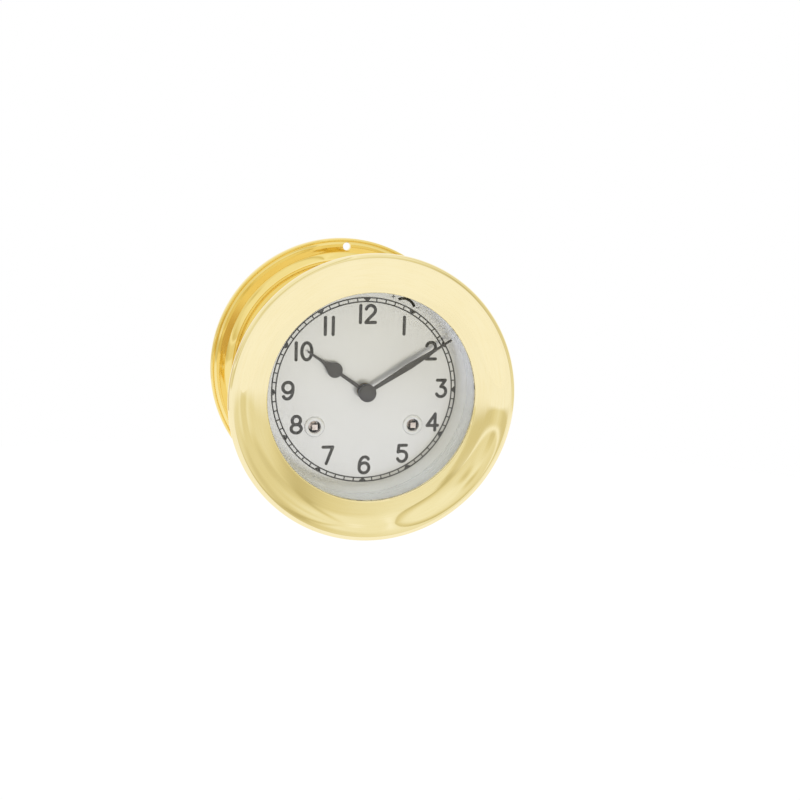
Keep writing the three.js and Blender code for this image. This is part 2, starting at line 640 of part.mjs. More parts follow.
function dialParts() {
  const wall = reflectorBore + REFLECTOR_WALL;
  const foot = reflectorBore + REFLECTOR_FOOT_WIDTH;
  add('reflector_ring', turned([
    [reflectorBore, reflectorFront], [wall, reflectorFront], [wall, reflectorFoot], [foot, reflectorFoot],
    [foot, reflectorBack], [reflectorBore, reflectorBack],
  ], LARGE), silver());
  const slot = sector(REGULATOR_ARM - SLOT_WIDTH / 2, REGULATOR_ARM + SLOT_WIDTH / 2,
    REGULATOR_FROM, REGULATOR_TO, SMALL, regulator);
  const sleeve = WIND_HOLE + GROMMET_WALL;
  const holes = [
    round(HOUR_PIPE + DIAL_HOLE_GAP, MEDIUM), slot,
    ...[timeBarrel, strikeBarrel].map((at) => round(sleeve + SEAT_GAP, MEDIUM, at)),
  ];
  add('dial', flat(round(DIAL_RADIUS, LARGE), DIAL_DEPTH, dialBack, holes), silver());
  const crest = DIAL_DEPTH - GROMMET_RISE;
  const grommet = () => turned([
    [WIND_HOLE, crest + GROMMET_RISE / 2], [sleeve, crest], [GROMMET_RADIUS - GROMMET_WALL, crest],
    [GROMMET_RADIUS, crest + GROMMET_RISE / 2],
    [GROMMET_RADIUS, DIAL_DEPTH], [sleeve, DIAL_DEPTH], [sleeve, dialBack], [WIND_HOLE, dialBack],
  ], MEDIUM);
  add('time_winding_grommet', grommet(), silver(), timeBarrel);
  add('strike_winding_grommet', grommet(), silver(), strikeBarrel);
  spaced(FEET, footCircle, FOOT_TURN).forEach((at, i) => {
    add(`dial_foot_${i + 1}`, bar(FOOT_RADIUS, dialBack, plateFront, TINY), plateBrass(), at);
  });
  const front = dialBack + MOTION_SPACE / 4;
  const back = front + LEVER_THICK;
  const index = polar(REGULATOR_ARM, REGULATOR_REST);
  const lever = join(
    bar(STUD + STUD_RING, front, back, SMALL),
    flat(strip(centre, index, STUD, 2 * INDEX_RADIUS), front, back),
    shift(bar(INDEX_RADIUS, DIAL_DEPTH - SEAT_GAP, back, TINY), index));
  add('regulator_lever', cut(lever, bar(STUD + RUNNING_GAP, 0, caseDepth, SMALL)), steel(), regulator);
}

function frameParts() {
  const pivots = [second, third, fourth, escape, pallet, balance, pinWheel, strikeThird, fly, hammer];
  const hole = (radius, at, facets = TINY) => round(radius, facets, at);
  const screws = spaced(CASE_SCREWS, caseScrewCircle).map((at) => hole(CASE_SCREW + SEAT_GAP, at));
  const frontHoles = [
    ...pivots.map((at) => hole(PIVOT + RUNNING_GAP, at)), ...screws,
    hole(CENTRE_ARBOR + RUNNING_GAP, centre, SMALL),
    ...[timeBarrel, strikeBarrel].map((at) => hole(BARREL_ARBOR + RUNNING_GAP, at, MEDIUM)),
  ];
  const stud = (at, length) => shift(bar(STUD, plateFront - length, plateFront + PLATE_THICK / 2, SMALL), at);
  const longStud = MOTION_SPACE - LEVER_THICK;
  const clickStud = RATCHET_THICK + 2 * SEAT_GAP;
  const frontPlate = join(
    flat(round(frontPlateRadius, INNER), plateFront, trainFront, frontHoles),
    stud(minuteStud, longStud), stud(regulator, longStud),
    stud(timeClick, clickStud), stud(strikeClick, clickStud));
  add('front_plate', frontPlate, plateBrass());
  const backHoles = [
    ...pivots.filter((at) => at !== balance && at !== hammer).map((at) => hole(PIVOT + RUNNING_GAP, at)),
    hole(PIVOT + RUNNING_GAP, centre), hole(2 * STAFF, balance),
    hole(HAMMER_ARBOR + RUNNING_GAP, hammer, SMALL),
    ...[timeBarrel, strikeBarrel].map((at) => hole(BARREL_PIVOT + RUNNING_GAP, at, SMALL)),
  ];
  add('back_plate', flat(round(backPlateRadius, INNER), trainBack, plateBack, backHoles), plateBrass());
  PILLAR_HEADINGS.forEach((angle, i) => {
    const pillar = bar(PILLAR_RADIUS, trainFront, trainBack, SMALL);
    add(`pillar_${i + 1}`, pillar, plateBrass(), polar(pillarCircle, angle));
  });
}

// A spiral strip of spring between two radii
function spiral(inner, outer, turns, thick, front, back) {
  const steps = turns * SMALL;
  const edge = (offset) => Array.from({ length: steps + 1 }, (_, i) => (
    polar(inner + (outer - inner) * i / steps + offset, 360 * i / SMALL)));
  const outline = [...edge(thick / 2), ...edge(-thick / 2).reverse()];
  return flat(outline.map(([x, z]) => new THREE.Vector2(x, z)), front, back);
}

// A spring barrel with its great wheel, cover, mainspring, winding arbor, ratchet and click
function barrelParts(name, at, click, leaning) {
  const bore = BARREL_ARBOR + RUNNING_GAP;
  const inside = DRUM_RADIUS - DRUM_WALL;
  const drum = turned([
    [bore, drumBack - DRUM_WALL], [inside, drumBack - DRUM_WALL], [inside, drumFront],
    [DRUM_RADIUS, drumFront], [DRUM_RADIUS, greatFront + SEAT_GAP], [bore, greatFront + SEAT_GAP],
  ], MEDIUM);
  const wheel = flat(wheelOutline(GREAT, 0), ...greatLevel, [round(bore, MEDIUM)]);
  add(`${name}_barrel`, join(drum, wheel), plateBrass(), at);
  const cover = bar(inside - SEAT_GAP / 2, drumFront, drumFront + DRUM_WALL, MEDIUM, bore);
  add(`${name}_barrel_cover`, cover, plateBrass(), at);
  const spring = spiral(BARREL_HUB + SPRING_ROOM, inside - SPRING_ROOM, SPRING_TURNS, SPRING_THICK,
    drumFront + 2 * DRUM_WALL, drumBack - 2 * DRUM_WALL);
  add(`${name}_mainspring`, spring, steel(), at);

  const squareEnd = DIAL_DEPTH - SQUARE_RISE;
  const shoulder = dialBack + MOTION_SPACE / 2;
  const half = SQUARE_SIDE / 2;
  const square = [[-half, -half], [half, -half], [half, half], [-half, half]];
  const shaft = turned([
    [0, shoulder], [BARREL_ARBOR - SEAT_GAP, shoulder], [BARREL_ARBOR - SEAT_GAP, plateFront - SEAT_GAP],
    [BARREL_ARBOR, plateFront - SEAT_GAP], [BARREL_ARBOR, drumFront + DRUM_WALL + PLAY],
    [BARREL_HUB, drumFront + DRUM_WALL + PLAY], [BARREL_HUB, drumBack - DRUM_WALL - PLAY],
    [BARREL_ARBOR, drumBack - DRUM_WALL - PLAY], [BARREL_ARBOR, trainBack - PLAY],
    [BARREL_PIVOT, trainBack - PLAY], [BARREL_PIVOT, plateBack], [0, plateBack],
  ], SMALL);
  const key = flat(square.map(([x, z]) => new THREE.Vector2(x, z)), squareEnd, shoulder + 1);
  add(`${name}_winding_arbor`, join(shaft, key), steel(), at);
  const ratchetBack = plateFront - SEAT_GAP;
  const ratchetFront = ratchetBack - RATCHET_THICK;
  const teeth = sawOutline(RATCHET_TEETH, RATCHET_RADIUS, RATCHET_RADIUS - RATCHET_TOOTH);
  const ratchetBore = BARREL_ARBOR - SEAT_GAP + RUNNING_GAP;
  const ratchet = flat(teeth, ratchetFront, ratchetBack, [round(ratchetBore, SMALL)]);
  add(`${name}_ratchet`, ratchet, steel(), at);
  const nose = polar(RATCHET_RADIUS + CLICK_GAP, 90 - leaning * CLICK_LEAN, at);
  const local = [nose[0] - click[0], nose[1] - click[1]];
  const pawl = join(
    bar(STUD + STUD_RING, ratchetFront, ratchetBack, SMALL),
    flat(strip(centre, local, STUD, CLICK_NOSE), ratchetFront, ratchetBack));
  add(`${name}_click`, cut(pawl, bar(STUD + RUNNING_GAP, 0, caseDepth, SMALL)), steel(), click);
}

// A wheel and its pinion on one arbor, at given depths
function wheelSet(name, at, wheel, wheelTurn, wheelLevel, pinion, pinionTurn, pinionLevel) {
  add(name, join(
    arbor(ARBOR), flat(wheelOutline(wheel, wheelTurn), ...wheelLevel),
    flat(pinionOutline(pinion, pinionTurn), ...pinionLevel)), plateBrass(), at);
}

function timeTrain() {
  barrelParts('time', timeBarrel, timeClick, 1);
  const secondTurn = meshed(GREAT, 0, timeBarrel, SECOND_PINION, second);
  wheelSet('second_wheel', second, SECOND, 0, secondLevel, SECOND_PINION, secondTurn, spare(greatLevel));

  const centreTurn = meshed(SECOND, 0, second, CENTRE_PINION, centre);
  const frontEnd = DIAL_DEPTH - MINUTE_HAND_RISE - HAND_THICK - NUT_HEIGHT / 2;
  const centreShaft = turned([
    [0, frontEnd], [CENTRE_ARBOR, frontEnd], [CENTRE_ARBOR, centreLevel[1]],
    [ARBOR, centreLevel[1]], [ARBOR, trainBack - PLAY], [PIVOT, trainBack - PLAY],
    [PIVOT, plateBack - PLAY], [0, plateBack - PLAY],
  ], SMALL);
  add('centre_wheel', join(
    centreShaft, flat(wheelOutline(CENTRE, 0), ...centreLevel),
    flat(pinionOutline(CENTRE_PINION, centreTurn), ...spare(secondLevel))), plateBrass());

  const thirdTurn = meshed(CENTRE, 0, centre, THIRD_PINION, third);
  wheelSet('third_wheel', third, THIRD, 0, thirdLevel, THIRD_PINION, thirdTurn, spare(centreLevel));
  const fourthTurn = meshed(THIRD, 0, third, FOURTH_PINION, fourth);
  wheelSet('fourth_wheel', fourth, FOURTH, 0, fourthLevel, FOURTH_PINION, fourthTurn, spare(thirdLevel));
  const escapeTurn = meshed(FOURTH, 0, fourth, ESCAPE_PINION, escape);
  const escapeTeeth = sawOutline(ESCAPE_TEETH, ESCAPE_RADIUS, ESCAPE_RADIUS - ESCAPE_TOOTH);
  add('escape_wheel', join(
    arbor(FINE_ARBOR), flat(escapeTeeth, ...escapeLevel),
    flat(pinionOutline(ESCAPE_PINION, escapeTurn), ...spare(fourthLevel))), plateBrass(), escape);
}

// The lever that the escape wheel rocks: a curved anchor over the wheel and a fork towards the balance
function escapementParts() {
  const [front, back] = escapeLevel;
  const toEscape = heading(pallet, escape);
  const escapeHere = polar(PALLET_REACH, toEscape);
  const inside = ESCAPE_RADIUS + PALLET_GAP;
  const anchor = flat(
    sector(inside, inside + PALLET_WIDTH, toEscape + 135, toEscape + 225, SMALL, escapeHere), front, back);
  const forkEnd = polar(FORK_REACH - ROLLER_RADIUS - SEAT_GAP, heading(pallet, balance));
  const fork = flat(strip(centre, forkEnd, PALLET_WIDTH / 2, PALLET_WIDTH / 2), front, back);
  const hub = bar(PALLET_WIDTH, front, back, TINY);
  add('pallet_lever', join(arbor(FINE_ARBOR), anchor, fork, hub), steel(), pallet);

  const rimFront = plateBack + RIM_OFFSET;
  const rimBack = rimFront + BALANCE_RIM;
  const springFront = rimBack + RIM_OFFSET;
  const cockFront = cockBack - COCK_THICK;
  const staff = turned([
    [0, plateFront + PLAY], [PIVOT, plateFront + PLAY], [PIVOT, trainFront + PLAY],
    [STAFF, trainFront + PLAY], [STAFF, front], [ROLLER_RADIUS, front], [ROLLER_RADIUS, back], [STAFF, back],
    [STAFF, cockFront - PLAY], [PIVOT, cockFront - PLAY], [PIVOT, cockBack - PLAY], [0, cockBack - PLAY],
  ], TINY);
  const rim = bar(BALANCE_RADIUS, rimFront, rimBack, MEDIUM, BALANCE_RADIUS - BALANCE_RING);
  const spokeEnd = BALANCE_RADIUS - BALANCE_RING / 2;
  const spoke = flat(strip([-spokeEnd, 0], [spokeEnd, 0], STAFF, STAFF), rimFront, rimBack);
  add('balance_wheel', join(staff, rim, spoke), plateBrass(), balance);
  const springBack = springFront + HAIRSPRING_WIDTH;
  const coilRadius = BALANCE_RADIUS - BALANCE_RING - COIL_INSET;
  const coil = spiral(2 * STAFF, coilRadius, SPRING_TURNS, SPRING_THICK / 2, springFront, springBack);
  add('hairspring', coil, steel(), balance);

  const foot = [cockFoot[0] - balance[0], cockFoot[1] - balance[1]];
  const studAt = polar(coilRadius, 0);
  const cock = join(
    flat(strip(foot, studAt, COCK_FOOT, COCK_FOOT / 2), cockFront, cockBack),
    shift(bar(COCK_FOOT, plateBack, cockBack, SMALL), foot),
    shift(bar(STAFF, springBack + SEAT_GAP, cockBack, TINY), studAt));
  add('balance_cock', cut(cock, bar(PIVOT + RUNNING_GAP, 0, caseDepth, TINY)), plateBrass(), balance);
}

// An outline mirrored about a hand's length, from [distance, half width] pairs, pointing at a clock angle
function handOutline(edge, clockAngle) {
  const along = 90 - clockAngle;
  const side = (sign) => edge.map(([out, half]) => polar(sign * half, along - 90, polar(out, along)));
  return [...side(1), ...side(-1).reverse()].map(([x, z]) => new THREE.Vector2(x, z));
}

function motionWork() {
  const wheelBack = plateFront - MOTION_GAP;
  const wheelFront = wheelBack - MOTION_WHEEL;
  const hourBack = wheelFront - 2 * MOTION_GAP;
  const hourFront = hourBack - MOTION_WHEEL;
  const hourHandBack = DIAL_DEPTH - HOUR_HAND_RISE;
  const minuteHandBack = DIAL_DEPTH - MINUTE_HAND_RISE;
  const minuteHandFront = minuteHandBack - HAND_THICK;

  const bore = CENTRE_ARBOR + RUNNING_GAP;
  const pipe = bar(CANNON_PIPE, minuteHandFront, wheelBack, SMALL);
  const cannon = join(pipe, flat(pinionOutline(CANNON, 0), wheelFront, wheelBack));
  add('cannon_pinion', cut(cannon, bar(bore, 0, caseDepth, SMALL)), steel());
  const minuteTurn = meshed(CANNON, 0, centre, MINUTE, minuteStud);
  const minute = join(
    flat(wheelOutline(MINUTE, minuteTurn), wheelFront, wheelBack),
    flat(pinionOutline(MINUTE_PINION, 0), hourFront, wheelFront));
  add('minute_wheel', cut(minute, bar(STUD + RUNNING_GAP, 0, caseDepth, SMALL)), plateBrass(), minuteStud);
  const hourTurn = meshed(MINUTE_PINION, 0, minuteStud, HOUR, centre);
  const hourPipe = bar(HOUR_PIPE, hourHandBack - HAND_THICK, hourBack, SMALL);
  const hour = join(hourPipe, flat(wheelOutline(HOUR, hourTurn), hourFront, hourBack));
  add('hour_wheel', cut(hour, bar(CANNON_PIPE + 2 * RUNNING_GAP, 0, caseDepth, SMALL)), plateBrass());

  // A spade: a straight stem, a round bulb and a hollow-sided point
  const hourLevel = [hourHandBack - HAND_THICK, hourHandBack];
  const pointFrom = BULB_AT + BULB_RADIUS;
  const spade = [
    [BULB_AT, 0.9 * BULB_RADIUS], [BULB_AT + BULB_RADIUS / 2, 0.86 * BULB_RADIUS],
    [pointFrom + BULB_RADIUS / 4, BULB_RADIUS / 2], [pointFrom + BULB_RADIUS, BULB_RADIUS / 4],
    [pointFrom + 2 * BULB_RADIUS, (STEM_HALF + POINT_HALF) / 2], [HOUR_REACH - POINT_ROUND, POINT_HALF],
    [HOUR_REACH, POINT_HALF / 2],
  ];
  const stem = flat(handOutline([[0, STEM_HALF], [BULB_AT, STEM_HALF]], HOUR_ANGLE), ...hourLevel);
  const bulb = shift(bar(BULB_RADIUS, ...hourLevel, MEDIUM), polar(BULB_AT, 90 - HOUR_ANGLE));
  const hourHub = bar(BOSS_RADIUS, ...hourLevel, MEDIUM);
  const hourHand = join(hourHub, stem, bulb, flat(handOutline(spade, HOUR_ANGLE), ...hourLevel));
  add('hour_hand', cut(hourHand, bar(HOUR_PIPE + RUNNING_GAP, 0, caseDepth, SMALL)), black());

  // A leaf: widest half way along, narrow over the minute track
  const leaf = flat(handOutline([
    [0, STEM_HALF], [BOSS_RADIUS, STEM_HALF], [0.5 * MINUTE_REACH, LEAF_HALF],
    [0.66 * MINUTE_REACH, (LEAF_HALF + STEM_HALF) / 2], [0.8 * MINUTE_REACH, (STEM_HALF + POINT_HALF) / 2],
    [MINUTE_REACH - POINT_ROUND, POINT_HALF], [MINUTE_REACH, POINT_HALF / 2],
  ], MINUTE_ANGLE), minuteHandFront, minuteHandBack);
  const minuteHub = bar(BOSS_RADIUS, minuteHandFront, minuteHandBack, MEDIUM);
  const minuteHand = join(minuteHub, leaf);
  add('minute_hand', cut(minuteHand, bar(CANNON_PIPE + RUNNING_GAP, 0, caseDepth, SMALL)), black());
  const nutBack = minuteHandFront;
  const nutBore = CENTRE_ARBOR + RUNNING_GAP;
  add('hand_nut', turned([
    [0, nutBack - NUT_HEIGHT], [0.45 * BOSS_RADIUS, nutBack - 0.9 * NUT_HEIGHT],
    [0.8 * BOSS_RADIUS, nutBack - 0.55 * NUT_HEIGHT], [BOSS_RADIUS, nutBack], [nutBore, nutBack],
    [nutBore, nutBack - NUT_HEIGHT / 2 - SEAT_GAP / 2], [0, nutBack - NUT_HEIGHT / 2 - SEAT_GAP / 2],
  ], MEDIUM), black());
}

function strikeTrain() {
  barrelParts('strike', strikeBarrel, strikeClick, -1);
  const pinTurn = meshed(GREAT, 0, strikeBarrel, SECOND_PINION, pinWheel);
  const pinCircle = rootRadius(SECOND) - PIN_INSET;
  const pins = Array.from({ length: LIFTING_PINS }, (_, i) => shift(
    bar(PIVOT, tailFront, secondFront + WHEEL_THICK / 2, PIN), polar(pinCircle, 360 * i / LIFTING_PINS)));
  add('strike_pin_wheel', join(
    arbor(ARBOR), flat(wheelOutline(SECOND, 0), ...secondLevel),
    flat(pinionOutline(SECOND_PINION, pinTurn), ...spare(greatLevel)), ...pins), plateBrass(), pinWheel);
  const thirdTurn = meshed(SECOND, 0, pinWheel, STRIKE_PINION, strikeThird);
  wheelSet('strike_third_wheel', strikeThird, STRIKE_THIRD, 0, strikeThirdLevel,
    STRIKE_PINION, thirdTurn, spare(secondLevel));
  const flyTurn = meshed(STRIKE_THIRD, 0, strikeThird, FLY_PINION, fly);
  const blade = flat(strip([-FLY_REACH, 0], [FLY_REACH, 0], PIVOT / 2, PIVOT / 2), ...flyLevel);
  add('strike_fly', join(
    arbor(ARBOR), blade, flat(pinionOutline(FLY_PINION, flyTurn), ...spare(strikeThirdLevel))), steel(), fly);

  // The hammer hangs behind the back plate, with its head beside the bell and its tail by the lifting pins
  const armFront = plateBack + HAMMER_THICK;
  const armBack = armFront + HAMMER_THICK;
  const headRadius = BELL_RADIUS + HAMMER_GAP + HAMMER_HEAD;
  const headAt = reach(centre, headRadius, hammer, HAMMER_ARM);
  const head = [headAt[0] - hammer[0], headAt[1] - hammer[1]];
  const tailEnd = polar(distance(hammer, pinWheel) - pinCircle - PIVOT - SEAT_GAP, heading(hammer, pinWheel));
  const shaft = turned([
    [0, plateFront + PLAY], [PIVOT, plateFront + PLAY], [PIVOT, trainFront + PLAY],
    [HAMMER_ARBOR, trainFront + PLAY], [HAMMER_ARBOR, armBack], [0, armBack],
  ], SMALL);
  const arm = flat(strip(centre, head, HAMMER_WIDTH / 2, HAMMER_WIDTH / 2), armFront, armBack);
  const tail = flat(strip(centre, tailEnd, HAMMER_ARBOR, PIVOT), ...tailLevel);
  const headBar = shift(bar(HAMMER_HEAD, armFront, bellRim + BELL_HEIGHT / 2, SMALL), head);
  const boss = bar(HAMMER_ARBOR + STUD_RING, armFront, armBack, SMALL);
  add('hammer', join(shaft, tail, arm, boss, headBar), steel(), hammer);
}

function bellParts() {
  const hole = BELL_STUD + SEAT_GAP / 2;
  add('bell', turned([
    [hole, bellCrown], [0.72 * BELL_RADIUS, bellCrown], [0.94 * BELL_RADIUS, bellCrown - 0.36 * BELL_HEIGHT],
    [BELL_RADIUS, bellRim], [BELL_RADIUS - BELL_WALL, bellRim],
    [0.94 * BELL_RADIUS - BELL_WALL, bellCrown - 0.42 * BELL_HEIGHT],
    [0.72 * BELL_RADIUS - BELL_WALL / 2, bellCrown - BELL_WALL], [hole, bellCrown - BELL_WALL],
  ], INNER), bellMetal());
  const nutBack = bellCrown - BELL_WALL - SEAT_GAP;
  const nutFront = nutBack - BELL_NUT_THICK;
  add('bell_post', turned([
    [0, nutFront - SEAT_GAP], [BELL_STUD, nutFront - SEAT_GAP], [BELL_STUD, bellCrown],
    [BELL_FOOT, bellCrown], [BELL_FOOT, innerBack], [0, innerBack],
  ], SMALL), plateBrass());
  add('bell_nut', flat(round(BELL_NUT, PIN), nutFront, nutBack, [round(hole, SMALL)]), steel());
}

caseParts();
bezelParts();
hingeParts();
catchPart();
dialParts();
frameParts();
timeTrain();
escapementParts();
motionWork();
strikeTrain();
bellParts();

export default clock;
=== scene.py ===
"""Looks of a brass wall clock: polished case and bezel, silvered dial behind glass, black hands."""
import json
import math

import bmesh
import bpy
import numpy as np
from mathutils import Matrix, Vector


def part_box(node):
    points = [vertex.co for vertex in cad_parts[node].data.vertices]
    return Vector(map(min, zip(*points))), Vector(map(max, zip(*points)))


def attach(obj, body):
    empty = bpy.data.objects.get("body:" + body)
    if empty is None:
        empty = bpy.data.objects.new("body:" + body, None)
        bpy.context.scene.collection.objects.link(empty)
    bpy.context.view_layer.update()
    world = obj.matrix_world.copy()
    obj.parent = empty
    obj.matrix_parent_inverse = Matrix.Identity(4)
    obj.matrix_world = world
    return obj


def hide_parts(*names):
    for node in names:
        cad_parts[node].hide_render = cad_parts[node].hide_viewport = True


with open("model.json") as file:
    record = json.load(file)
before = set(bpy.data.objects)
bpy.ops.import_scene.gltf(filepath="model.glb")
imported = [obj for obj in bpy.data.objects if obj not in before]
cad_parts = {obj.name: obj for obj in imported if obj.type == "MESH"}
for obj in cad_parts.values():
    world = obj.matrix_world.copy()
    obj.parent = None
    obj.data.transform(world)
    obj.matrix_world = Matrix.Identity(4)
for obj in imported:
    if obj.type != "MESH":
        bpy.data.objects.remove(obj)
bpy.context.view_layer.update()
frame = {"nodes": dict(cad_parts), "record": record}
nodes = frame["nodes"]

# Sizes in millimetres, most of them as in the part's source. Depth is counted from the bezel's rim plane to
# the wall.

MM = 0.001
CASE_DEPTH = 93.0
CASE_INNER, CASE_OUTER = 55.9, 57.5
MOUTH, LEDGE_FRONT, LEDGE_BACK, LEDGE_RADIUS, FLOOR_DEPTH = 10.3, 34.5, 38.0, 51.5, 89.0
FLANGE, FLANGE_FRONT, FLANGE_BEAD, FLANGE_COVE = 70.0, 90.0, 0.85, 5.2
HOLE, HOLE_CIRCLE, HOLE_HEADINGS = 2.1, 65.65, (2, 122, 242)
BEZEL, RIM_ROLL, RIM_BACK, RIM_EDGE = 70.0, 1.5, 2.8, 0.7
FACE_WIDTH, FACE_DEPTH, FACE_TURN = 13.35, 4.0, 5.47
LIP_RADIUS, LIP_BEAD, LIP_SLOPE = 51.0, 0.9, 7.0
GLASS_SEAT, BEZEL_BACK, SEAT_RADIUS = 6.7, 10.0, 59.5
SKIRT_IN, SKIRT_OUT, SKIRT_END = 54.5, 55.5, 15.0
GLASS, GLASS_FRONT, GLASS_BACK = 54.2, 7.0, 9.0
GLASS_RING, GLASS_RING_FRONT, GLASS_RING_BACK = 52.4, 9.3, 10.1
WALL_IN, WALL_OUT, WALL_FRONT, WALL_BACK = 52.5, 53.1, 10.2, 24.98
WALL_FOOT, WALL_FOOT_FRONT = 54.8, 23.2
DIAL_FACE = 25.0
WINDING_X, WINDING_Z, WINDING_HOLE = 24.95, -17.75, 3.05
GROMMET, GROMMET_CREST = 5.1, 24.1
MINUTE_HEADING, MINUTE_REACH, MINUTE_FRONT, MINUTE_BACK = 58.2, 49.6, 19.2, 19.9
HOUR_HEADING, HOUR_REACH, HOUR_FRONT, HOUR_BACK = 304.85, 35.8, 21.8, 22.5
NUT, NUT_FRONT, NUT_BACK = 4.4, 17.0, 19.2

TURN_STEPS = 360
CRISP = 35     # degrees past which an edge stays sharp
MERGE = 4e-7   # metres within which points of new pieces are one
WELD = 1e-6    # the same for the pieces that stay as they are


# Surfaces

def seat(x, depth, z):
    """Metres in the shared frame from millimetres to the right, behind the rim plane, and up."""
    return np.stack(np.broadcast_arrays(x, np.asarray(depth) - CASE_DEPTH, z), -1) * MM


def headed(along, side, depth, heading):
    """Points so far along a heading from twelve, and so far to its right."""
    a = math.radians(heading)
    return seat(along * math.sin(a) + side * math.cos(a), depth, along * math.cos(a) - side * math.sin(a))


def quads(rows, columns, rows_close=False, columns_close=False):
    """Four-sided faces between neighbours of a grid numbered row by row.

    A direction that closes joins its last row or column to its first."""
    i = np.arange(rows if rows_close else rows - 1)
    j = np.arange(columns if columns_close else columns - 1)
    i, j = np.meshgrid(i, j, indexing="ij")
    i2, j2 = (i + 1) % rows, (j + 1) % columns
    ring = [i * columns + j, i2 * columns + j, i2 * columns + j2, i * columns + j2]
    return np.stack(ring, -1).reshape(-1, 4)


def sheet_of(points, rows_close=False, columns_close=False):
    """A grid of points, rows by columns by three, as a list of points and its faces."""
    rows, columns = points.shape[:2]
    return points.reshape(-1, 3), quads(rows, columns, rows_close, columns_close)


def bead(radius, depth, size, start, end, steps=14):
    """Part of a circle in the section: angle 0 points away from the axis and 90 towards the viewer."""
    a = np.radians(np.linspace(start, end, steps + 1))
    return np.stack([radius + size * np.cos(a), depth - size * np.sin(a)], -1)


def turned(section, closed, x=0.0, z=0.0, steps=TURN_STEPS):
    """A section of (radius, depth) carried round a line parallel to the clock's axis through (x, z)."""
    radius, depth = np.asarray(section, float).T[:, :, None]
    a = np.radians(np.arange(steps) * 360.0 / steps)
    return sheet_of(seat(x + radius * np.sin(a), depth, z + radius * np.cos(a)), closed, True)


def mesh_of(name, sheets):
    """One mesh from several sheets: points that meet are merged and faces turned outwards."""
    starts = np.cumsum([0] + [len(points) for points, _ in sheets])
    points = np.concatenate([points for points, _ in sheets])
    faces = np.concatenate([faces + start for (_, faces), start in zip(sheets, starts)])
    mesh = bpy.data.meshes.new(name)
    mesh.vertices.add(len(points))
    mesh.vertices.foreach_set("co", points.astype(np.float32).ravel())
    mesh.loops.add(faces.size)
    mesh.loops.foreach_set("vertex_index", faces.astype(np.int32).ravel())
    mesh.polygons.add(len(faces))
    mesh.polygons.foreach_set("loop_start", np.arange(0, faces.size, 4, dtype=np.int32))
    mesh.update(calc_edges=True)
    shell = bmesh.new()
    shell.from_mesh(mesh)
    bmesh.ops.remove_doubles(shell, verts=shell.verts, dist=MERGE)
    bmesh.ops.recalc_face_normals(shell, faces=shell.faces)
    shell.to_mesh(mesh)
    shell.free()
    return mesh


def soften(piece, width, angle):
    """A small two-step bevel on the edges that turn by more than the angle."""
    bevel = piece.modifiers.new("edge", "BEVEL")
    bevel.width = width * MM
    bevel.segments = 2
    bevel.limit_method = "ANGLE"
    bevel.angle_limit = math.radians(angle)
    bevel.harden_normals = True


def make_piece(name, sheets, finish, body, stands_for=(), crisp=CRISP, edge=0.0):
    """One object from several sheets, smooth but for edges past crisp degrees.

    edge is the width in millimetres that a bevel takes off its sharp edges."""
    mesh = mesh_of(name, sheets)
    mesh.shade_smooth()
    mesh.set_sharp_from_angle(angle=math.radians(crisp))
    mesh.materials.append(finish)
    piece = bpy.data.objects.new(name, mesh)
    bpy.context.scene.collection.objects.link(piece)
    if edge:
        soften(piece, edge, crisp)
    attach(piece, body)
    if stands_for:
        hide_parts(*stands_for)
    return piece


def lay_second(piece, finish, chosen):
    """A second finish on the faces that chosen picks, given their middles."""
    mesh = piece.data
    mesh.materials.append(finish)
    middle = np.empty(3 * len(mesh.polygons))
    mesh.polygons.foreach_get("center", middle)
    picked = chosen(middle.reshape(-1, 3))
    mesh.polygons.foreach_set("material_index", picked.astype(np.int32))


# Arithmetic in a node tree

def calc(tree, operation, *values):
    """A Math node on numbers or sockets; gives its result."""
    node = tree.nodes.new("ShaderNodeMath")
    node.operation = operation
    for socket, value in zip(node.inputs, values):
        if isinstance(value, bpy.types.NodeSocket):
            tree.links.new(value, socket)
        else:
            socket.default_value = value
    return node.outputs[0]


def plus(tree, first, second):
    """The sum of two values."""
    return calc(tree, "ADD", first, second)


def minus(tree, first, second):
    """The first value less the second."""
    return calc(tree, "SUBTRACT", first, second)


def times(tree, first, second):
    """The product of two values."""
    return calc(tree, "MULTIPLY", first, second)


def slant(tree, value, slope, start):
    """A straight line: the slope times the value, plus the start."""
    return calc(tree, "MULTIPLY_ADD", value, slope, start)


def between(tree, share, first, second):
    """A mix of two numbers by a share from 0 to 1."""
    return calc(tree, "MULTIPLY_ADD", share, minus(tree, second, first), first)


def ramp(tree, value, low, high, start=0.0, end=1.0, smooth=True):
    """A value between low and high mapped to start and end, held at both ends."""
    node = tree.nodes.new("ShaderNodeMapRange")
    node.interpolation_type = "SMOOTHSTEP" if smooth else "LINEAR"
    tree.links.new(value, node.inputs["Value"])
    node.inputs["From Min"].default_value = low
    node.inputs["From Max"].default_value = high
    node.inputs["To Min"].default_value = start
    node.inputs["To Max"].default_value = end
    return node.outputs["Result"]


def hump(tree, value, width):
    """A bell curve about zero: 1 in the middle, about a third at the width."""
    share = calc(tree, "DIVIDE", value, width)
    return calc(tree, "EXPONENT", times(tree, times(tree, share, share), -1.0))


def tint(tree, share, first, second):
    """A mix of two colours, each a colour or a socket, by a share from 0 to 1."""
    node = tree.nodes.new("ShaderNodeMix")
    node.data_type = "RGBA"
    for socket, value in ((node.inputs[0], share), (node.inputs[6], first), (node.inputs[7], second)):
        if isinstance(value, bpy.types.NodeSocket):
            tree.links.new(value, socket)
        else:
            socket.default_value = value if isinstance(value, float) else (*value, 1.0)
    return node.outputs[2]


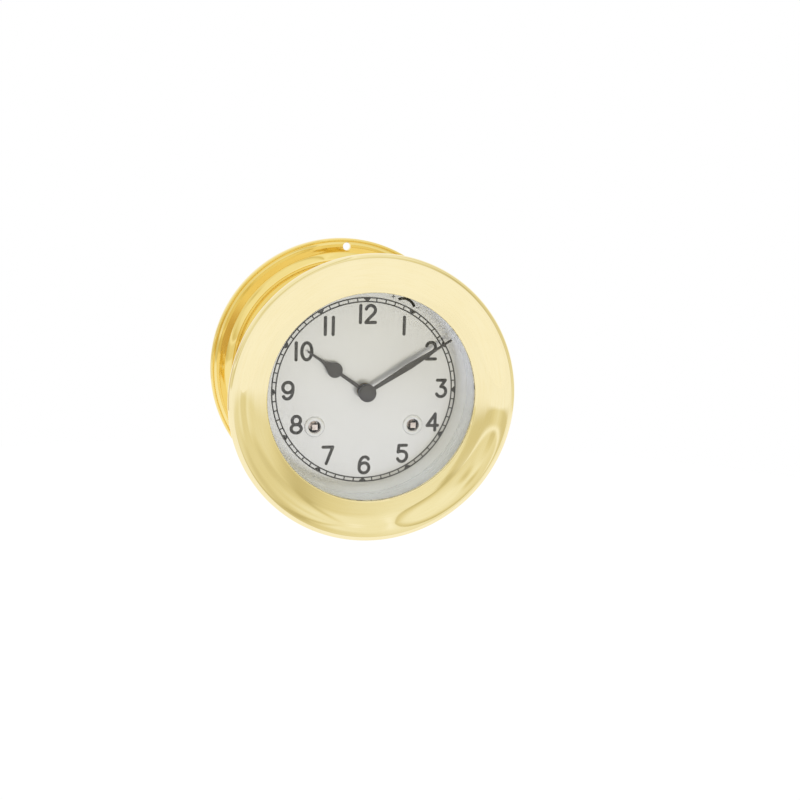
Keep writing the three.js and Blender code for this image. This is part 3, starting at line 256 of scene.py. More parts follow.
def noise(tree, vector, scale, detail):
    """Noise between about 0.3 and 0.7 at a position."""
    node = tree.nodes.new("ShaderNodeTexNoise")
    tree.links.new(vector, node.inputs["Vector"])
    node.inputs["Scale"].default_value = scale
    node.inputs["Detail"].default_value = detail
    return node.outputs["Fac"]


def position(tree, scale=(1.0, 1.0, 1.0)):
    """The point on the piece, in metres times a scale."""
    coordinate = tree.nodes.new("ShaderNodeTexCoord")
    mapping = tree.nodes.new("ShaderNodeMapping")
    mapping.inputs["Scale"].default_value = scale
    tree.links.new(coordinate.outputs["Object"], mapping.inputs["Vector"])
    return mapping.outputs["Vector"]


LINES_BY_RADIUS, LINES_BY_DEPTH = 1000.0, 700.0   # how far a metre moves the noise, before its scale


def lathe_lines(tree, slow):
    """A position that changes fast across the turning tool's path and slowly along it.

    Radius and depth together make the fast part, and x and z the slow one."""
    coordinate = tree.nodes.new("ShaderNodeTexCoord")
    split = tree.nodes.new("ShaderNodeSeparateXYZ")
    tree.links.new(coordinate.outputs["Object"], split.inputs[0])
    x, y, z = split.outputs
    radius = calc(tree, "SQRT", plus(tree, times(tree, x, x), times(tree, z, z)))
    join = tree.nodes.new("ShaderNodeCombineXYZ")
    across = slant(tree, radius, LINES_BY_RADIUS, times(tree, y, LINES_BY_DEPTH))
    for socket, value in zip(join.inputs, (across, times(tree, x, slow), times(tree, z, slow))):
        tree.links.new(value, socket)
    return join.outputs[0]


# Finishes. All but the glass have a light and a deep tone, and go from smooth to dull with it.

BRASS, BRASS_DEEP = (0.945, 0.840, 0.530), (0.930, 0.815, 0.490)
# Deeper gold for the flange and cove: painted reflection, standing in for the case's brass mirrored in its
# own brass.
BRASS_PAINTED_REFLECTION, BRASS_PAINTED_REFLECTION_DEEP = (0.945, 0.780, 0.335), (0.930, 0.745, 0.300)
PLATE, PLATE_DEEP = (0.82, 0.65, 0.33), (0.66, 0.49, 0.21)
# Near black brass for the front plate: painted shade, so that the plate seen through the dial's slot and
# holes stays dark.
PLATE_PAINTED_SHADE, PLATE_PAINTED_SHADE_DEEP = (0.090, 0.074, 0.056), (0.060, 0.050, 0.040)
STEEL, STEEL_DEEP = (0.70, 0.70, 0.71), (0.46, 0.46, 0.48)
STEEL_WARM, STEEL_WARM_DEEP = (0.86, 0.78, 0.76), (0.66, 0.58, 0.56)
BRONZE, BRONZE_DEEP = (0.76, 0.60, 0.36), (0.60, 0.44, 0.24)
SILVER, SILVER_DEEP = (0.958, 0.967, 1.0), (0.936, 0.945, 0.978)
WALL_SILVER, WALL_SILVER_DEEP = (0.90, 0.92, 0.95), (0.89, 0.91, 0.94)
INK, INK_DEEP = (0.110, 0.110, 0.112), (0.095, 0.095, 0.097)
ENAMEL, ENAMEL_DEEP = (0.122, 0.119, 0.126), (0.104, 0.101, 0.107)
CLEAR, GLASS_BEND = (1.0, 1.0, 1.0), 1.3


def new_finish(name, colour, metal, rough):
    """A material with one Principled shader; gives the material, its tree and the shader."""
    finish = bpy.data.materials.new(name)
    finish.use_nodes = True
    tree = finish.node_tree
    shader = tree.nodes["Principled BSDF"]
    shader.inputs["Base Color"].default_value = (*colour, 1.0)
    shader.inputs["Metallic"].default_value = metal
    shader.inputs["Roughness"].default_value = rough
    return finish, tree, shader


def set_bump(tree, shader, height, strength, distance):
    """Bump of the shader's normal from a height."""
    bump = tree.nodes.new("ShaderNodeBump")
    bump.inputs["Strength"].default_value = strength
    bump.inputs["Distance"].default_value = distance
    tree.links.new(height, bump.inputs["Height"])
    tree.links.new(bump.outputs["Normal"], shader.inputs["Normal"])


def mingled(tree, first, second, weight):
    """Two noises added, the first by its weight and the second by the rest of 1."""
    return slant(tree, first, weight, times(tree, second, 1 - weight))


def varied(tree, shader, pattern, light, deep, smooth, dull, low=0.3, high=0.7):
    """Colour and roughness that both follow a noise, stretched from low and high to the whole range."""
    share = ramp(tree, pattern, low, high)
    tree.links.new(tint(tree, share, light, deep), shader.inputs["Base Color"])
    tree.links.new(ramp(tree, share, 0.0, 1.0, smooth, dull, False), shader.inputs["Roughness"])


def polished_brass(name, light, deep):
    """Lacquered brass, turned and buffed: faint turning lines, soft cloudy wear in gloss and tone."""
    finish, tree, shader = new_finish(name, light, metal=1.0, rough=0.05)
    lines = noise(tree, lathe_lines(tree, slow=40.0), scale=2.2, detail=4.0)
    clouds = noise(tree, position(tree), scale=45.0, detail=4.0)
    pattern = mingled(tree, lines, clouds, 0.5)
    varied(tree, shader, pattern, light, deep, smooth=0.02, dull=0.06, low=0.35, high=0.65)
    set_bump(tree, shader, lines, strength=0.012, distance=0.0002)
    return finish


def movement_brass(name, light, deep):
    """Grained brass of plates and wheels: short straight grain, satin."""
    finish, tree, shader = new_finish(name, light, metal=1.0, rough=0.3)
    grain = noise(tree, position(tree, (60.0, 60.0, 1800.0)), scale=1.0, detail=5.0)
    clouds = noise(tree, position(tree), scale=90.0, detail=3.0)
    varied(tree, shader, mingled(tree, grain, clouds, 0.6), light, deep, smooth=0.24, dull=0.4)
    set_bump(tree, shader, grain, strength=0.08, distance=0.0002)
    return finish


def ground_steel(name, light, deep):
    """Ground steel of arbors, screws and springs: fine turning lines."""
    finish, tree, shader = new_finish(name, light, metal=1.0, rough=0.25)
    grain = noise(tree, lathe_lines(tree, slow=300.0), scale=3.0, detail=4.0)
    clouds = noise(tree, position(tree), scale=260.0, detail=2.0)
    varied(tree, shader, mingled(tree, grain, clouds, 0.6), light, deep, smooth=0.16, dull=0.34)
    set_bump(tree, shader, grain, strength=0.06, distance=0.0002)
    return finish


def bell_bronze():
    """Turned bell metal: broad turning lines and a reddish tone."""
    finish, tree, shader = new_finish("bell_bronze", BRONZE, metal=1.0, rough=0.28)
    lines = noise(tree, lathe_lines(tree, slow=20.0), scale=1.4, detail=4.0)
    varied(tree, shader, lines, BRONZE, BRONZE_DEEP, smooth=0.2, dull=0.36)
    set_bump(tree, shader, lines, strength=0.12, distance=0.0003)
    return finish


def silvered_dial():
    """Silvered brass brushed up and down: very fine straight grain in tone, gloss and bump."""
    finish, tree, shader = new_finish("silvered_dial", SILVER, metal=0.45, rough=0.25)
    grain = noise(tree, position(tree, (2600.0, 1.0, 45.0)), scale=1.0, detail=5.0)
    clouds = noise(tree, position(tree), scale=38.0, detail=3.0)
    varied(tree, shader, mingled(tree, grain, clouds, 0.7), SILVER, SILVER_DEEP, smooth=0.20, dull=0.27)
    set_bump(tree, shader, grain, strength=0.05, distance=0.0001)
    return finish


def silvered_wall():
    """Silvered ring under the glass: turned, satin, with faint rings."""
    finish, tree, shader = new_finish("silvered_wall", WALL_SILVER, metal=1.0, rough=0.3)
    lines = noise(tree, lathe_lines(tree, slow=25.0), scale=1.6, detail=4.0)
    varied(tree, shader, lines, WALL_SILVER, WALL_SILVER_DEEP, smooth=0.27, dull=0.30)
    set_bump(tree, shader, lines, strength=0.001, distance=0.0002)
    return finish


def dial_ink():
    """Dark grey printed wax of the numerals and track: matt, slightly mottled."""
    finish, tree, shader = new_finish("dial_ink", INK, metal=0.0, rough=0.6)
    mottle = noise(tree, position(tree), scale=900.0, detail=3.0)
    varied(tree, shader, mottle, INK, INK_DEEP, smooth=0.5, dull=0.7)
    return finish


def black_hands():
    """Matt black enamel on the hands, their nut and the regulator: even, with a fine orange-peel."""
    finish, tree, shader = new_finish("black_hands", ENAMEL, metal=0.0, rough=0.42)
    peel = noise(tree, position(tree), scale=1500.0, detail=2.0)
    varied(tree, shader, peel, ENAMEL, ENAMEL_DEEP, smooth=0.36, dull=0.48)
    set_bump(tree, shader, peel, strength=0.05, distance=0.0001)
    return finish


def clear_glass():
    """Flat clear glass that lets light through to the dial, with faint marks in its gloss."""
    finish, tree, shader = new_finish("clear_glass", CLEAR, metal=0.0, rough=0.0)
    shader.inputs["Transmission Weight"].default_value = 1.0
    shader.inputs["IOR"].default_value = GLASS_BEND
    marks = noise(tree, position(tree), scale=30.0, detail=3.0)
    gloss = ramp(tree, marks, low=0.5, high=0.8, start=0.0, end=0.02)
    tree.links.new(gloss, shader.inputs["Roughness"])
    clear = tree.nodes.new("ShaderNodeBsdfTransparent")
    path = tree.nodes.new("ShaderNodeLightPath")
    blend = tree.nodes.new("ShaderNodeMixShader")
    tree.links.new(path.outputs["Is Shadow Ray"], blend.inputs["Fac"])
    tree.links.new(shader.outputs["BSDF"], blend.inputs[1])
    tree.links.new(clear.outputs["BSDF"], blend.inputs[2])
    tree.links.new(blend.outputs["Shader"], tree.nodes["Material Output"].inputs["Surface"])
    return finish


brass = polished_brass("polished_brass", BRASS, BRASS_DEEP)
# The same polished brass in a deeper gold: painted reflection on the flange and cove, not a second metal.
reflection_painted_brass = polished_brass("brass_with_painted_reflection", BRASS_PAINTED_REFLECTION, BRASS_PAINTED_REFLECTION_DEEP)
plate_brass = movement_brass("movement_brass", PLATE, PLATE_DEEP)
# The movement brass made near black: painted shade for the front plate behind the dial.
shade_painted_plate = movement_brass("brass_with_painted_shade", PLATE_PAINTED_SHADE, PLATE_PAINTED_SHADE_DEEP)
steel = ground_steel("ground_steel", STEEL, STEEL_DEEP)
warm_steel = ground_steel("warm_steel", STEEL_WARM, STEEL_WARM_DEEP)
bronze = bell_bronze()
dial_silver = silvered_dial()
wall_silver = silvered_wall()
ink = dial_ink()
enamel = black_hands()
window = clear_glass()


# Case body: a straight wall on a flat flange, closed at the back

RING_IN, RING_OUT, RING_ROWS = 63.0, 68.2, 26     # the part of the flange that holds the screw holes
WINDOW_HALF, PATCH_ROWS, HOLE_EDGE = 4, 12, 0.15  # round each hole: degrees to both sides, rows, chamfer
RIDGE_AT, RIDGE_WIDTH, RIDGE_HEIGHT = 66.7, 0.7, 0.22
BEAD_START, BACK_EDGE = 175, 0.3
PAINTED_REFLECTION_FROM = 5.5                                   # the deeper gold of painted reflection starts so far in front of the wall


def ridge(depth, x, z):
    """The flange's depth at a point: on its front stands a low round ridge, a bell curve of the radius."""
    height = RIDGE_HEIGHT if depth == FLANGE_FRONT else 0.0
    return depth - height * np.exp(-((np.hypot(x, z) - RIDGE_AT) / RIDGE_WIDTH) ** 2)


def pierced_ring(depth, edge_depth):
    """The ring of the flange that holds the screw holes, on its front or back.

    Between the holes it is a grid of radius and angle. Round each hole a patch runs straight from the
    outline of a window in that grid to the hole's circle, then a small chamfer goes to edge_depth."""
    radius = np.linspace(RING_IN, RING_OUT, RING_ROWS + 1)
    sheets = []
    for heading, after in zip(HOLE_HEADINGS, HOLE_HEADINGS[1:] + (HOLE_HEADINGS[0] + 360,)):
        a = np.radians(np.arange(heading + WINDOW_HALF, after - WINDOW_HALF + 1))
        x, z = radius[:, None] * np.sin(a), radius[:, None] * np.cos(a)
        sheets.append(sheet_of(seat(x, ridge(depth, x, z), z)))
        turn = np.radians(np.arange(heading - WINDOW_HALF, heading + WINDOW_HALF + 1))
        across = np.concatenate([turn[:-1], np.full(RING_ROWS, turn[-1]),
                                 turn[:0:-1], np.full(RING_ROWS, turn[0])])
        along = np.concatenate([np.full(2 * WINDOW_HALF, RING_IN), radius[:-1],
                                np.full(2 * WINDOW_HALF, RING_OUT), radius[:0:-1]])
        outline = np.stack([along * np.sin(across), along * np.cos(across)], -1)
        centre = HOLE_CIRCLE * np.array([math.sin(math.radians(heading)), math.cos(math.radians(heading))])
        arm = outline - centre
        arm /= np.linalg.norm(arm, axis=1, keepdims=True)
        rim, bore = centre + (HOLE + HOLE_EDGE) * arm, centre + HOLE * arm
        share = np.linspace(0, 1, PATCH_ROWS + 1)[:, None, None]
        x, z = np.moveaxis(outline * (1 - share) + rim * share, -1, 0)
        sheets.append(sheet_of(seat(x, ridge(depth, x, z), z), False, True))
        x, z = np.moveaxis(np.stack([rim, bore]), -1, 0)
        chamfer = np.stack([ridge(depth, x[0], z[0]), np.full(len(arm), edge_depth)])
        sheets.append(sheet_of(seat(x, chamfer, z), False, True))
        if depth == FLANGE_FRONT:
            wall = np.stack([bore] * 2)
            ends = np.array([[edge_depth], [CASE_DEPTH - HOLE_EDGE]])
            sheets.append(sheet_of(seat(wall[..., 0], ends, wall[..., 1]), False, True))
    return sheets


def case_body():
    """Sections turned about the clock's axis, with the two pierced rings of the flange between them."""
    cove = bead(CASE_OUTER + FLANGE_COVE, FLANGE_FRONT - FLANGE_COVE, -FLANGE_COVE, 0, 90, steps=24)
    roll = bead(FLANGE - FLANGE_BEAD, FLANGE_FRONT, FLANGE_BEAD, BEAD_START, 0, steps=20)
    inside = [(0.0, FLOOR_DEPTH), (CASE_INNER, FLOOR_DEPTH), (CASE_INNER, LEDGE_BACK),
              (LEDGE_RADIUS, LEDGE_BACK), (LEDGE_RADIUS, LEDGE_FRONT), (CASE_INNER, LEDGE_FRONT),
              (CASE_INNER, MOUTH), (CASE_OUTER, MOUTH)]
    wall = np.concatenate([inside, cove, [(RING_IN, ridge(FLANGE_FRONT, 0.0, RING_IN))]])
    edge = np.concatenate([[(RING_OUT, ridge(FLANGE_FRONT, 0.0, RING_OUT))], roll,
                           [(FLANGE, CASE_DEPTH - BACK_EDGE), (FLANGE - BACK_EDGE, CASE_DEPTH),
                            (RING_OUT, CASE_DEPTH)]])
    back = [(RING_IN, CASE_DEPTH), (0.0, CASE_DEPTH)]
    sheets = [turned(part, False) for part in (wall, edge, back)]
    sheets += pierced_ring(FLANGE_FRONT, FLANGE_FRONT + HOLE_EDGE)
    sheets += pierced_ring(CASE_DEPTH, CASE_DEPTH - HOLE_EDGE)
    shell = make_piece("case_shell", sheets, brass, "case", ["case_body"], edge=0.12)
    # Flange and cove get the deeper gold: painted reflection of brass in brass.
    lay_second(shell, reflection_painted_brass, lambda middle: middle[:, 1] > -PAINTED_REFLECTION_FROM * MM)


# Bezel, glass and the rings under it

def bezel_section():
    """Rounded rim, face, rounded lip, glass rebate, skirt and back, once round in order.

    The face is two arcs that meet at one slope, round outside and hollow inside. Their depths add to its
    own."""
    slope = 2 * math.atan(FACE_DEPTH / FACE_WIDTH)
    steepest = 90 + math.degrees(slope)
    crest = BEZEL - RIM_ROLL
    outer, inner = FACE_TURN / math.sin(slope), (FACE_WIDTH - FACE_TURN) / math.sin(slope)
    rim = bead(crest, RIM_ROLL, RIM_ROLL, 0, 90, steps=12)
    rounded = bead(crest, outer, outer, 90, steepest, steps=24)[1:]
    hollow = bead(crest - FACE_WIDTH, FACE_DEPTH - inner, -inner, steepest, 90 + LIP_SLOPE, steps=30)[1:]
    lip_crest = LIP_RADIUS + LIP_BEAD
    lip_depth = hollow[-1, 1] + (hollow[-1, 0] - LIP_RADIUS - LIP_BEAD) * math.tan(math.radians(LIP_SLOPE))
    lip = bead(lip_crest, lip_depth + LIP_BEAD, LIP_BEAD, 90, 180)
    rest = [(LIP_RADIUS, GLASS_SEAT), (SKIRT_IN, GLASS_SEAT), (SKIRT_IN, SKIRT_END), (SKIRT_OUT, SKIRT_END),
            (SKIRT_OUT, BEZEL_BACK), (SEAT_RADIUS, BEZEL_BACK), (BEZEL - RIM_EDGE, RIM_BACK),
            (BEZEL, RIM_BACK - RIM_EDGE / 2)]
    return np.concatenate([rim, rounded, hollow, lip, rest])


def front_rings():
    """The turned pieces at the front: bezel, glass, its ring, and the silvered wall on the dial."""
    rim = [turned(bezel_section(), True)]
    make_piece("bezel_ring", rim, brass, "door", ["bezel"], edge=0.1)
    pane = [(0.0, GLASS_FRONT), (GLASS, GLASS_FRONT), (GLASS, GLASS_BACK), (0.0, GLASS_BACK)]
    pane = [turned(pane, False)]
    make_piece("glass_pane", pane, window, "door", ["glass"], edge=0.3)
    ring = [(GLASS_RING, GLASS_RING_FRONT), (GLASS, GLASS_RING_FRONT), (GLASS, GLASS_RING_BACK),
            (GLASS_RING, GLASS_RING_BACK)]
    ring = [turned(ring, True)]
    make_piece("glass_keeper", ring, brass, "door", ["glass_ring"], edge=0.15)
    wall = [(WALL_IN, WALL_FRONT), (WALL_OUT, WALL_FRONT), (WALL_OUT, WALL_FOOT_FRONT),
            (WALL_FOOT, WALL_FOOT_FRONT), (WALL_FOOT, WALL_BACK), (WALL_IN, WALL_BACK)]
    wall = [turned(wall, True)]
    make_piece("dial_wall", wall, wall_silver, "case", ["reflector_ring"], edge=0.15)


GROMMET_ROLL, GROMMET_LIP, GROMMET_SLEEVE, GROMMET_GAP = 0.7, 0.35, 0.3, 0.02
GROMMET_CRISP = 50


def grommets():
    """Round-topped rings in the dial's two winding holes: one section turned about each hole's middle."""
    for side, name in ((1, "time"), (-1, "strike")):
        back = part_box(f"{name}_winding_grommet")[1].y / MM + CASE_DEPTH
        crest = bead(GROMMET - GROMMET_ROLL, GROMMET_CREST + GROMMET_ROLL, GROMMET_ROLL, 0, 90, steps=8)
        inner = bead(WINDING_HOLE + GROMMET_LIP, GROMMET_CREST + GROMMET_LIP, GROMMET_LIP, 90, 180, steps=6)
        sleeve, under = WINDING_HOLE + GROMMET_SLEEVE, DIAL_FACE - GROMMET_GAP
        section = np.concatenate([crest, inner, [(WINDING_HOLE, back), (sleeve, back),
                                                 (sleeve, under), (GROMMET, under)]])
        sheet = turned(section, True, side * WINDING_X, WINDING_Z, steps=96)
        make_piece(f"{name}_grommet", [sheet], dial_silver, "case",
                   [f"{name}_winding_grommet"], crisp=GROMMET_CRISP)


# Hands. Places are distances from the middle of the dial, and widths are half widths.

HAND_STEPS, HUB, HAND_EDGE, EDGE_SHARE, TIP = 400, 4.2, 0.16, 0.7, 0.5
STEM_END, STEM_FROM, STEM_TO = 15.8, 0.92, 0.82
BULB_AT, BULB = 19.2, 3.8
SHOULDER, SHOULDER_HALF, NECK, NECK_HALF, HOUR_TIP_HALF, SPADE_POWER = 21.4, 3.098, 28.7, 0.62, 0.48, 2.12
LEAF_AT, LEAF_HALF = (0, 4.5, 25.6, 38.4, 41.0, MINUTE_REACH), (0.8, 0.95, 1.55, 0.85, 0.6, 0.5)
NUT_DOME, DOME_STEPS = 1.2, 15


def hand(along, half, heading, front, back):
    """A flat hand: at each distance along it, a bevelled bar as wide as the half width says.

    The bar's outline is carried along the hand and turned to its heading from twelve."""
    along, half = along[:, None], half[:, None]
    cut = np.minimum(HAND_EDGE, EDGE_SHARE * half)
    side = half * [[-1, -1, -1, 1, 1, 1]] + cut * [[0, 0, 1, -1, 0, 0]]
    depth = np.array([[back, front, front, front, front, back]]) + cut * [[0, 1, 0, 0, 1, 0]]
    return sheet_of(headed(along, side, depth, heading), False, True)


def finished(along, half, end):
    """A hand's half widths with its round hub, brought to nothing along a quarter circle before its end."""
    half = np.maximum(half, np.sqrt(np.maximum(0, HUB ** 2 - along ** 2)))
    gap = np.clip(np.abs(end - along) / TIP, 0, 1)
    return half * np.sqrt(np.maximum(0, 1 - (1 - gap) ** 2))


def hour_spade():
    """The hour hand: a stem, a round bulb, a hollow taper by a power of the distance, and a thin point."""
    along = np.linspace(-HUB, HOUR_REACH, HAND_STEPS)
    stem = np.interp(along, [0, STEM_END], [STEM_FROM, STEM_TO])
    bulb = np.sqrt(np.maximum(0, BULB ** 2 - (along - BULB_AT) ** 2))
    taper = np.clip((NECK - along) / (NECK - SHOULDER), 0, 1)
    hollow = NECK_HALF + (SHOULDER_HALF - NECK_HALF) * taper ** SPADE_POWER
    point = np.interp(along, [NECK, HOUR_REACH], [NECK_HALF, HOUR_TIP_HALF])
    spade = np.where(along < NECK, hollow, point)
    half = finished(along, np.where(along < SHOULDER, np.maximum(stem, bulb), spade), HOUR_REACH)
    sheet = hand(along, half, HOUR_HEADING, HOUR_FRONT, HOUR_BACK)
    make_piece("hour_spade", [sheet], enamel, "hour", ["hour_hand"])


def minute_leaf():
    """The minute hand: straight sides between a few widths."""
    along = np.linspace(-HUB, MINUTE_REACH, HAND_STEPS)
    half = finished(along, np.interp(along, LEAF_AT, LEAF_HALF), MINUTE_REACH)
    sheet = hand(along, half, MINUTE_HEADING, MINUTE_FRONT, MINUTE_BACK)
    make_piece("minute_leaf", [sheet], enamel, "minute", ["minute_hand"])


def hand_cap():
    """The nut that holds the hands: a quarter ellipse and a straight side, turned."""
    a = np.linspace(0, 1, DOME_STEPS + 1) * math.pi / 2
    dome = np.stack([NUT * np.sin(a), NUT_FRONT + NUT_DOME * (1 - np.cos(a))], -1)
    section = np.concatenate([dome, [(NUT, NUT_BACK), (0.0, NUT_BACK)]])
    sheet = turned(section, False, steps=120)
    make_piece("hand_cap", [sheet], enamel, "minute", ["hand_nut"], edge=0.1)


# Dial print: numerals, minute track and regulator signs. Places are to the right of and above the middle.

INK_RISE, INK_SUNK, STROKE_STEP = 0.03, 0.02, 0.004
PRINT_CRISP, CAP_STEPS = 30, 8
STROKE, FIGURE_HALF = 0.80, 4.2
TRACK_OUT, TRACK_IN, TRACK_LINE, TICK_LINE = 46.36, 44.42, 0.68, 0.64
WEDGE_OUT, WEDGE_IN = 2.15, 0.40
SIGNS, SIGN_STROKE = {"+": (13.1, 46.9), "-": (25.6, 41.4)}, 0.20
FIGURES = {"12": (0.55, 38.3), "1": (19.0, 32.5), "2": (33.1, 19.9), "3": (39.1, 0.65),
           "4": (35.3, -16.6), "5": (20.0, -32.5), "6": (0.6, -37.85), "7": (-17.9, -32.45),
           "8": (-34.0, -16.5), "9": (-38.4, 0.55), "10": (-30.5, 20.0), "11": (-18.55, 32.45)}
PAIR_SHIFTS = {"12": (-3.7, 1.35), "10": (-4.15, 1.1), "11": (-1.95, 1.95)}


def line(first, last, steps=12):
    """A straight stroke between two points."""
    first, last = np.array(first, float), np.array(last, float)
    return first + (last - first) * np.linspace(0, 1, steps + 1)[:, None]


def bow(x, z, wide, high, start, end, steps=40):
    """Part of an ellipse about (x, z), from start to end degrees; 0 is to the right and 90 up."""
    a = np.radians(np.linspace(start, end, steps + 1))
    return np.stack([x + wide * np.cos(a), z + high * np.sin(a)], -1)


def sway(first, pull, push, last, steps=24):
    """A cubic curve between two points that leaves towards pull and arrives from push."""
    t = np.linspace(0, 1, steps + 1)[:, None]
    first, pull, push, last = (np.array(p, float) for p in (first, pull, push, last))
    return first * (1 - t) ** 3 + 3 * pull * t * (1 - t) ** 2 + 3 * push * t ** 2 * (1 - t) + last * t ** 3


def loop(z, wide, high):
    """A stroke that closes on itself: an ellipse at a height, without the doubled point."""
    return bow(0, z, wide, high, 0, 360)[:-1], True


def pen(*runs):
    """An open stroke: runs of points joined end to end, without the doubled points."""
    return np.concatenate([runs[0]] + [run[1:] for run in runs[1:]]), False


def figure(mark):
    """The strokes of one figure about its middle, each with whether it closes on itself."""
    h = FIGURE_HALF
    neck = bow(0, h - 2.35, 2.3, 2.35, 165, -28)
    return {
        "0": [loop(0, 2.45, h)],
        "1": [pen(line((0, -h), (0, h)))],
        "2": [pen(neck, sway(neck[-1], neck[-1] + [-0.55, -1.0], (-1.6, -h + 1.4), (-2.3, -h))),
              pen(line((-2.3, -h), (2.45, -h)))],
        "3": [pen(line((-2.05, h), (2.1, h))), pen(line((2.1, h), (-0.15, 0.9))),
              pen(sway((-0.15, 0.9), (0.9, 0.95), (2.5, 0.3), (2.5, -1.6)),
                  bow(0, -1.6, 2.5, h - 1.6, 0, -152))],
        "4": [pen(line((1.35, h), (-2.75, -1.75))), pen(line((-2.75, -1.75), (2.75, -1.75))),
              pen(line((1.35, h), (1.35, -h)))],
        "5": [pen(line((2.2, h), (-1.7, h))), pen(line((-1.7, h), (-2.05, 0.75))),
              pen(sway((-2.05, 0.75), (-1.0, 1.5), (2.5, 1.5), (2.5, -1.35)),
                  bow(0, -1.35, 2.5, h - 1.35, 0, -152))],
        "6": [loop(-1.6, 2.5, h - 1.6),
              pen(sway((2.1, h - 1.3), (1.5, h + 0.4), (-2.5, h + 1.0), (-2.5, -1.0)),
                  line((-2.5, -1.0), (-2.5, -1.6)))],
        "7": [pen(line((-2.5, h), (2.4, h))), pen(line((2.4, h), (-0.75, -h)))],
        "8": [loop(2.05, 2.05, h - 2.05), loop(-2.05, 2.5, h - 2.05)],
        "9": [loop(1.6, 2.5, h - 1.6),
              pen(sway((-2.1, -h + 1.3), (-1.5, -h - 0.4), (2.5, -h - 1.0), (2.5, 1.0)),
                  line((2.5, 1.0), (2.5, 1.6)))],
        "+": [pen(line((-0.75, 0), (0.75, 0))), pen(line((0, -0.75), (0, 0.75)))],
        "-": [pen(line((-0.6, 0), (0.6, 0)))],
    }[mark]


def inked(path, closed, half, level):
    """A printed stroke: a flat band of even width along the path, with half-round ends.

    Each point goes to both sides along the path's normal. Past an open end the width follows a half circle.
    A higher level lies a little higher, so that strokes that cross don't share a face."""
    width = np.full(len(path), half)
    if closed:
        run = np.roll(path, -1, 0) - np.roll(path, 1, 0)
    else:
        out = half * np.cos(np.linspace(0, math.pi / 2, CAP_STEPS + 1))[:-1]
        first, last = (path[0] - path[1], path[-1] - path[-2])
        first, last = first / np.linalg.norm(first), last / np.linalg.norm(last)
        cap = np.sqrt(np.maximum(0, half ** 2 - out ** 2))
        run = np.gradient(path, axis=0)
        path = np.concatenate([path[0] + out[:, None] * first, path, path[-1] + out[::-1, None] * last])
        run = np.concatenate([np.repeat(-first[None], len(out), 0), run, np.repeat(last[None], len(out), 0)])
        width = np.concatenate([cap, width, cap[::-1]])
    run = run / np.linalg.norm(run, axis=1, keepdims=True)
    normal = np.stack([-run[:, 1], run[:, 0]], -1)[:, None] * width[:, None, None]
    section = path[:, None] + normal * np.array([-1, -1, 1, 1])[None, :, None]
    top, sunk = DIAL_FACE - INK_RISE - level * STROKE_STEP, DIAL_FACE + INK_SUNK
    return sheet_of(seat(section[..., 0], np.array([sunk, top, top, sunk]), section[..., 1]), closed, True)


def written(mark, place, half):
    """The printed strokes of one figure or sign at its place."""
    return [inked(path + np.array(place), closed, half, level)
            for level, (path, closed) in enumerate(figure(mark))]


def numerals():
    """The twelve numbers, one piece. Each figure of a pair is shifted to its side."""
    sheets = []
    for text, (x, z) in FIGURES.items():
        for mark, shift in zip(text, PAIR_SHIFTS.get(text, (0.0,))):
            sheets += written(mark, (x + shift, z), STROKE)
    make_piece("dial_numerals", sheets, ink, "case", crisp=PRINT_CRISP)


def minute_track():
    """Two circles with a line for each minute and a wedge for each fifth, and the regulator's two signs."""
    top, sunk = DIAL_FACE - INK_RISE, DIAL_FACE + INK_SUNK
    sheets = []
    for radius in (TRACK_OUT, TRACK_IN):
        near, far = radius - TRACK_LINE / 2, radius + TRACK_LINE / 2
        sheets.append(turned([(near, sunk), (near, top), (far, top), (far, sunk)], True))
    along = np.array([[TRACK_IN], [TRACK_OUT]])
    depth = np.array([[sunk, top - STROKE_STEP, top - STROKE_STEP, sunk]])
    for minute in range(60):
        wide, narrow = (WEDGE_OUT, WEDGE_IN) if minute % 5 == 0 else (TICK_LINE / 2, TICK_LINE / 2)
        side = np.array([[narrow], [wide]]) * [[-1, -1, 1, 1]]
        points = headed(along, side, depth, 6 * minute)
        sheets.append(sheet_of(points, False, True))
        sheets.append((points.reshape(-1, 3), np.array([[0, 1, 2, 3], [4, 5, 6, 7]])))
    for mark, place in SIGNS.items():
        sheets += written(mark, place, SIGN_STROKE)
    make_piece("dial_track", sheets, ink, "case", crisp=PRINT_CRISP)


case_body()
front_rings()
grommets()
hour_spade()
minute_leaf()
hand_cap()
numerals()
minute_track()


# Finishes of the pieces that stay as they are

FINISH_OF_SLOT = {"polished_brass": brass, "movement_brass": plate_brass, "steel": steel,
                  "silvered_dial": dial_silver, "black_hands": enamel, "bell_metal": bronze,
                  "clear_glass": window}
# The front plate gets the near black brass: painted shade behind the dial's slot.
FINISH_OF_NODE = {"regulator_lever": enamel, "front_plate": shade_painted_plate,
                  "time_winding_arbor": warm_steel, "strike_winding_arbor": warm_steel}
OUTER_NODES = ("hinge_case_leaf", "hinge_bezel_leaf", "hinge_pin", "hinge_screw_1", "hinge_screw_2",
               "bezel_catch")
OUTER_EDGE = 0.12

for row in frame["record"]["subparts"]:
    finish = FINISH_OF_NODE.get(row["node"], FINISH_OF_SLOT[row["material_slot"]])
    materials = nodes[row["node"]].data.materials
    materials.clear()
    materials.append(finish)
for name in OUTER_NODES:
    weld = nodes[name].modifiers.new("weld", "WELD")
    weld.merge_threshold = WELD
    soften(nodes[name], OUTER_EDGE, CRISP)


# Stage: pale floor, white surroundings with a warm screen in front, and the camera. Sizes are in metres.

FLOOR_HEIGHT, FLOOR_RINGS, FLOOR_STEP = -0.40, (0.0, 0.3, 0.8, 1.5), 5
PAPER, PAPER_DEEP = (0.93, 0.93, 0.93), (0.91, 0.91, 0.91)
FLOOR_GLOW, FLOOR_SHARE = 1.03, 0.9


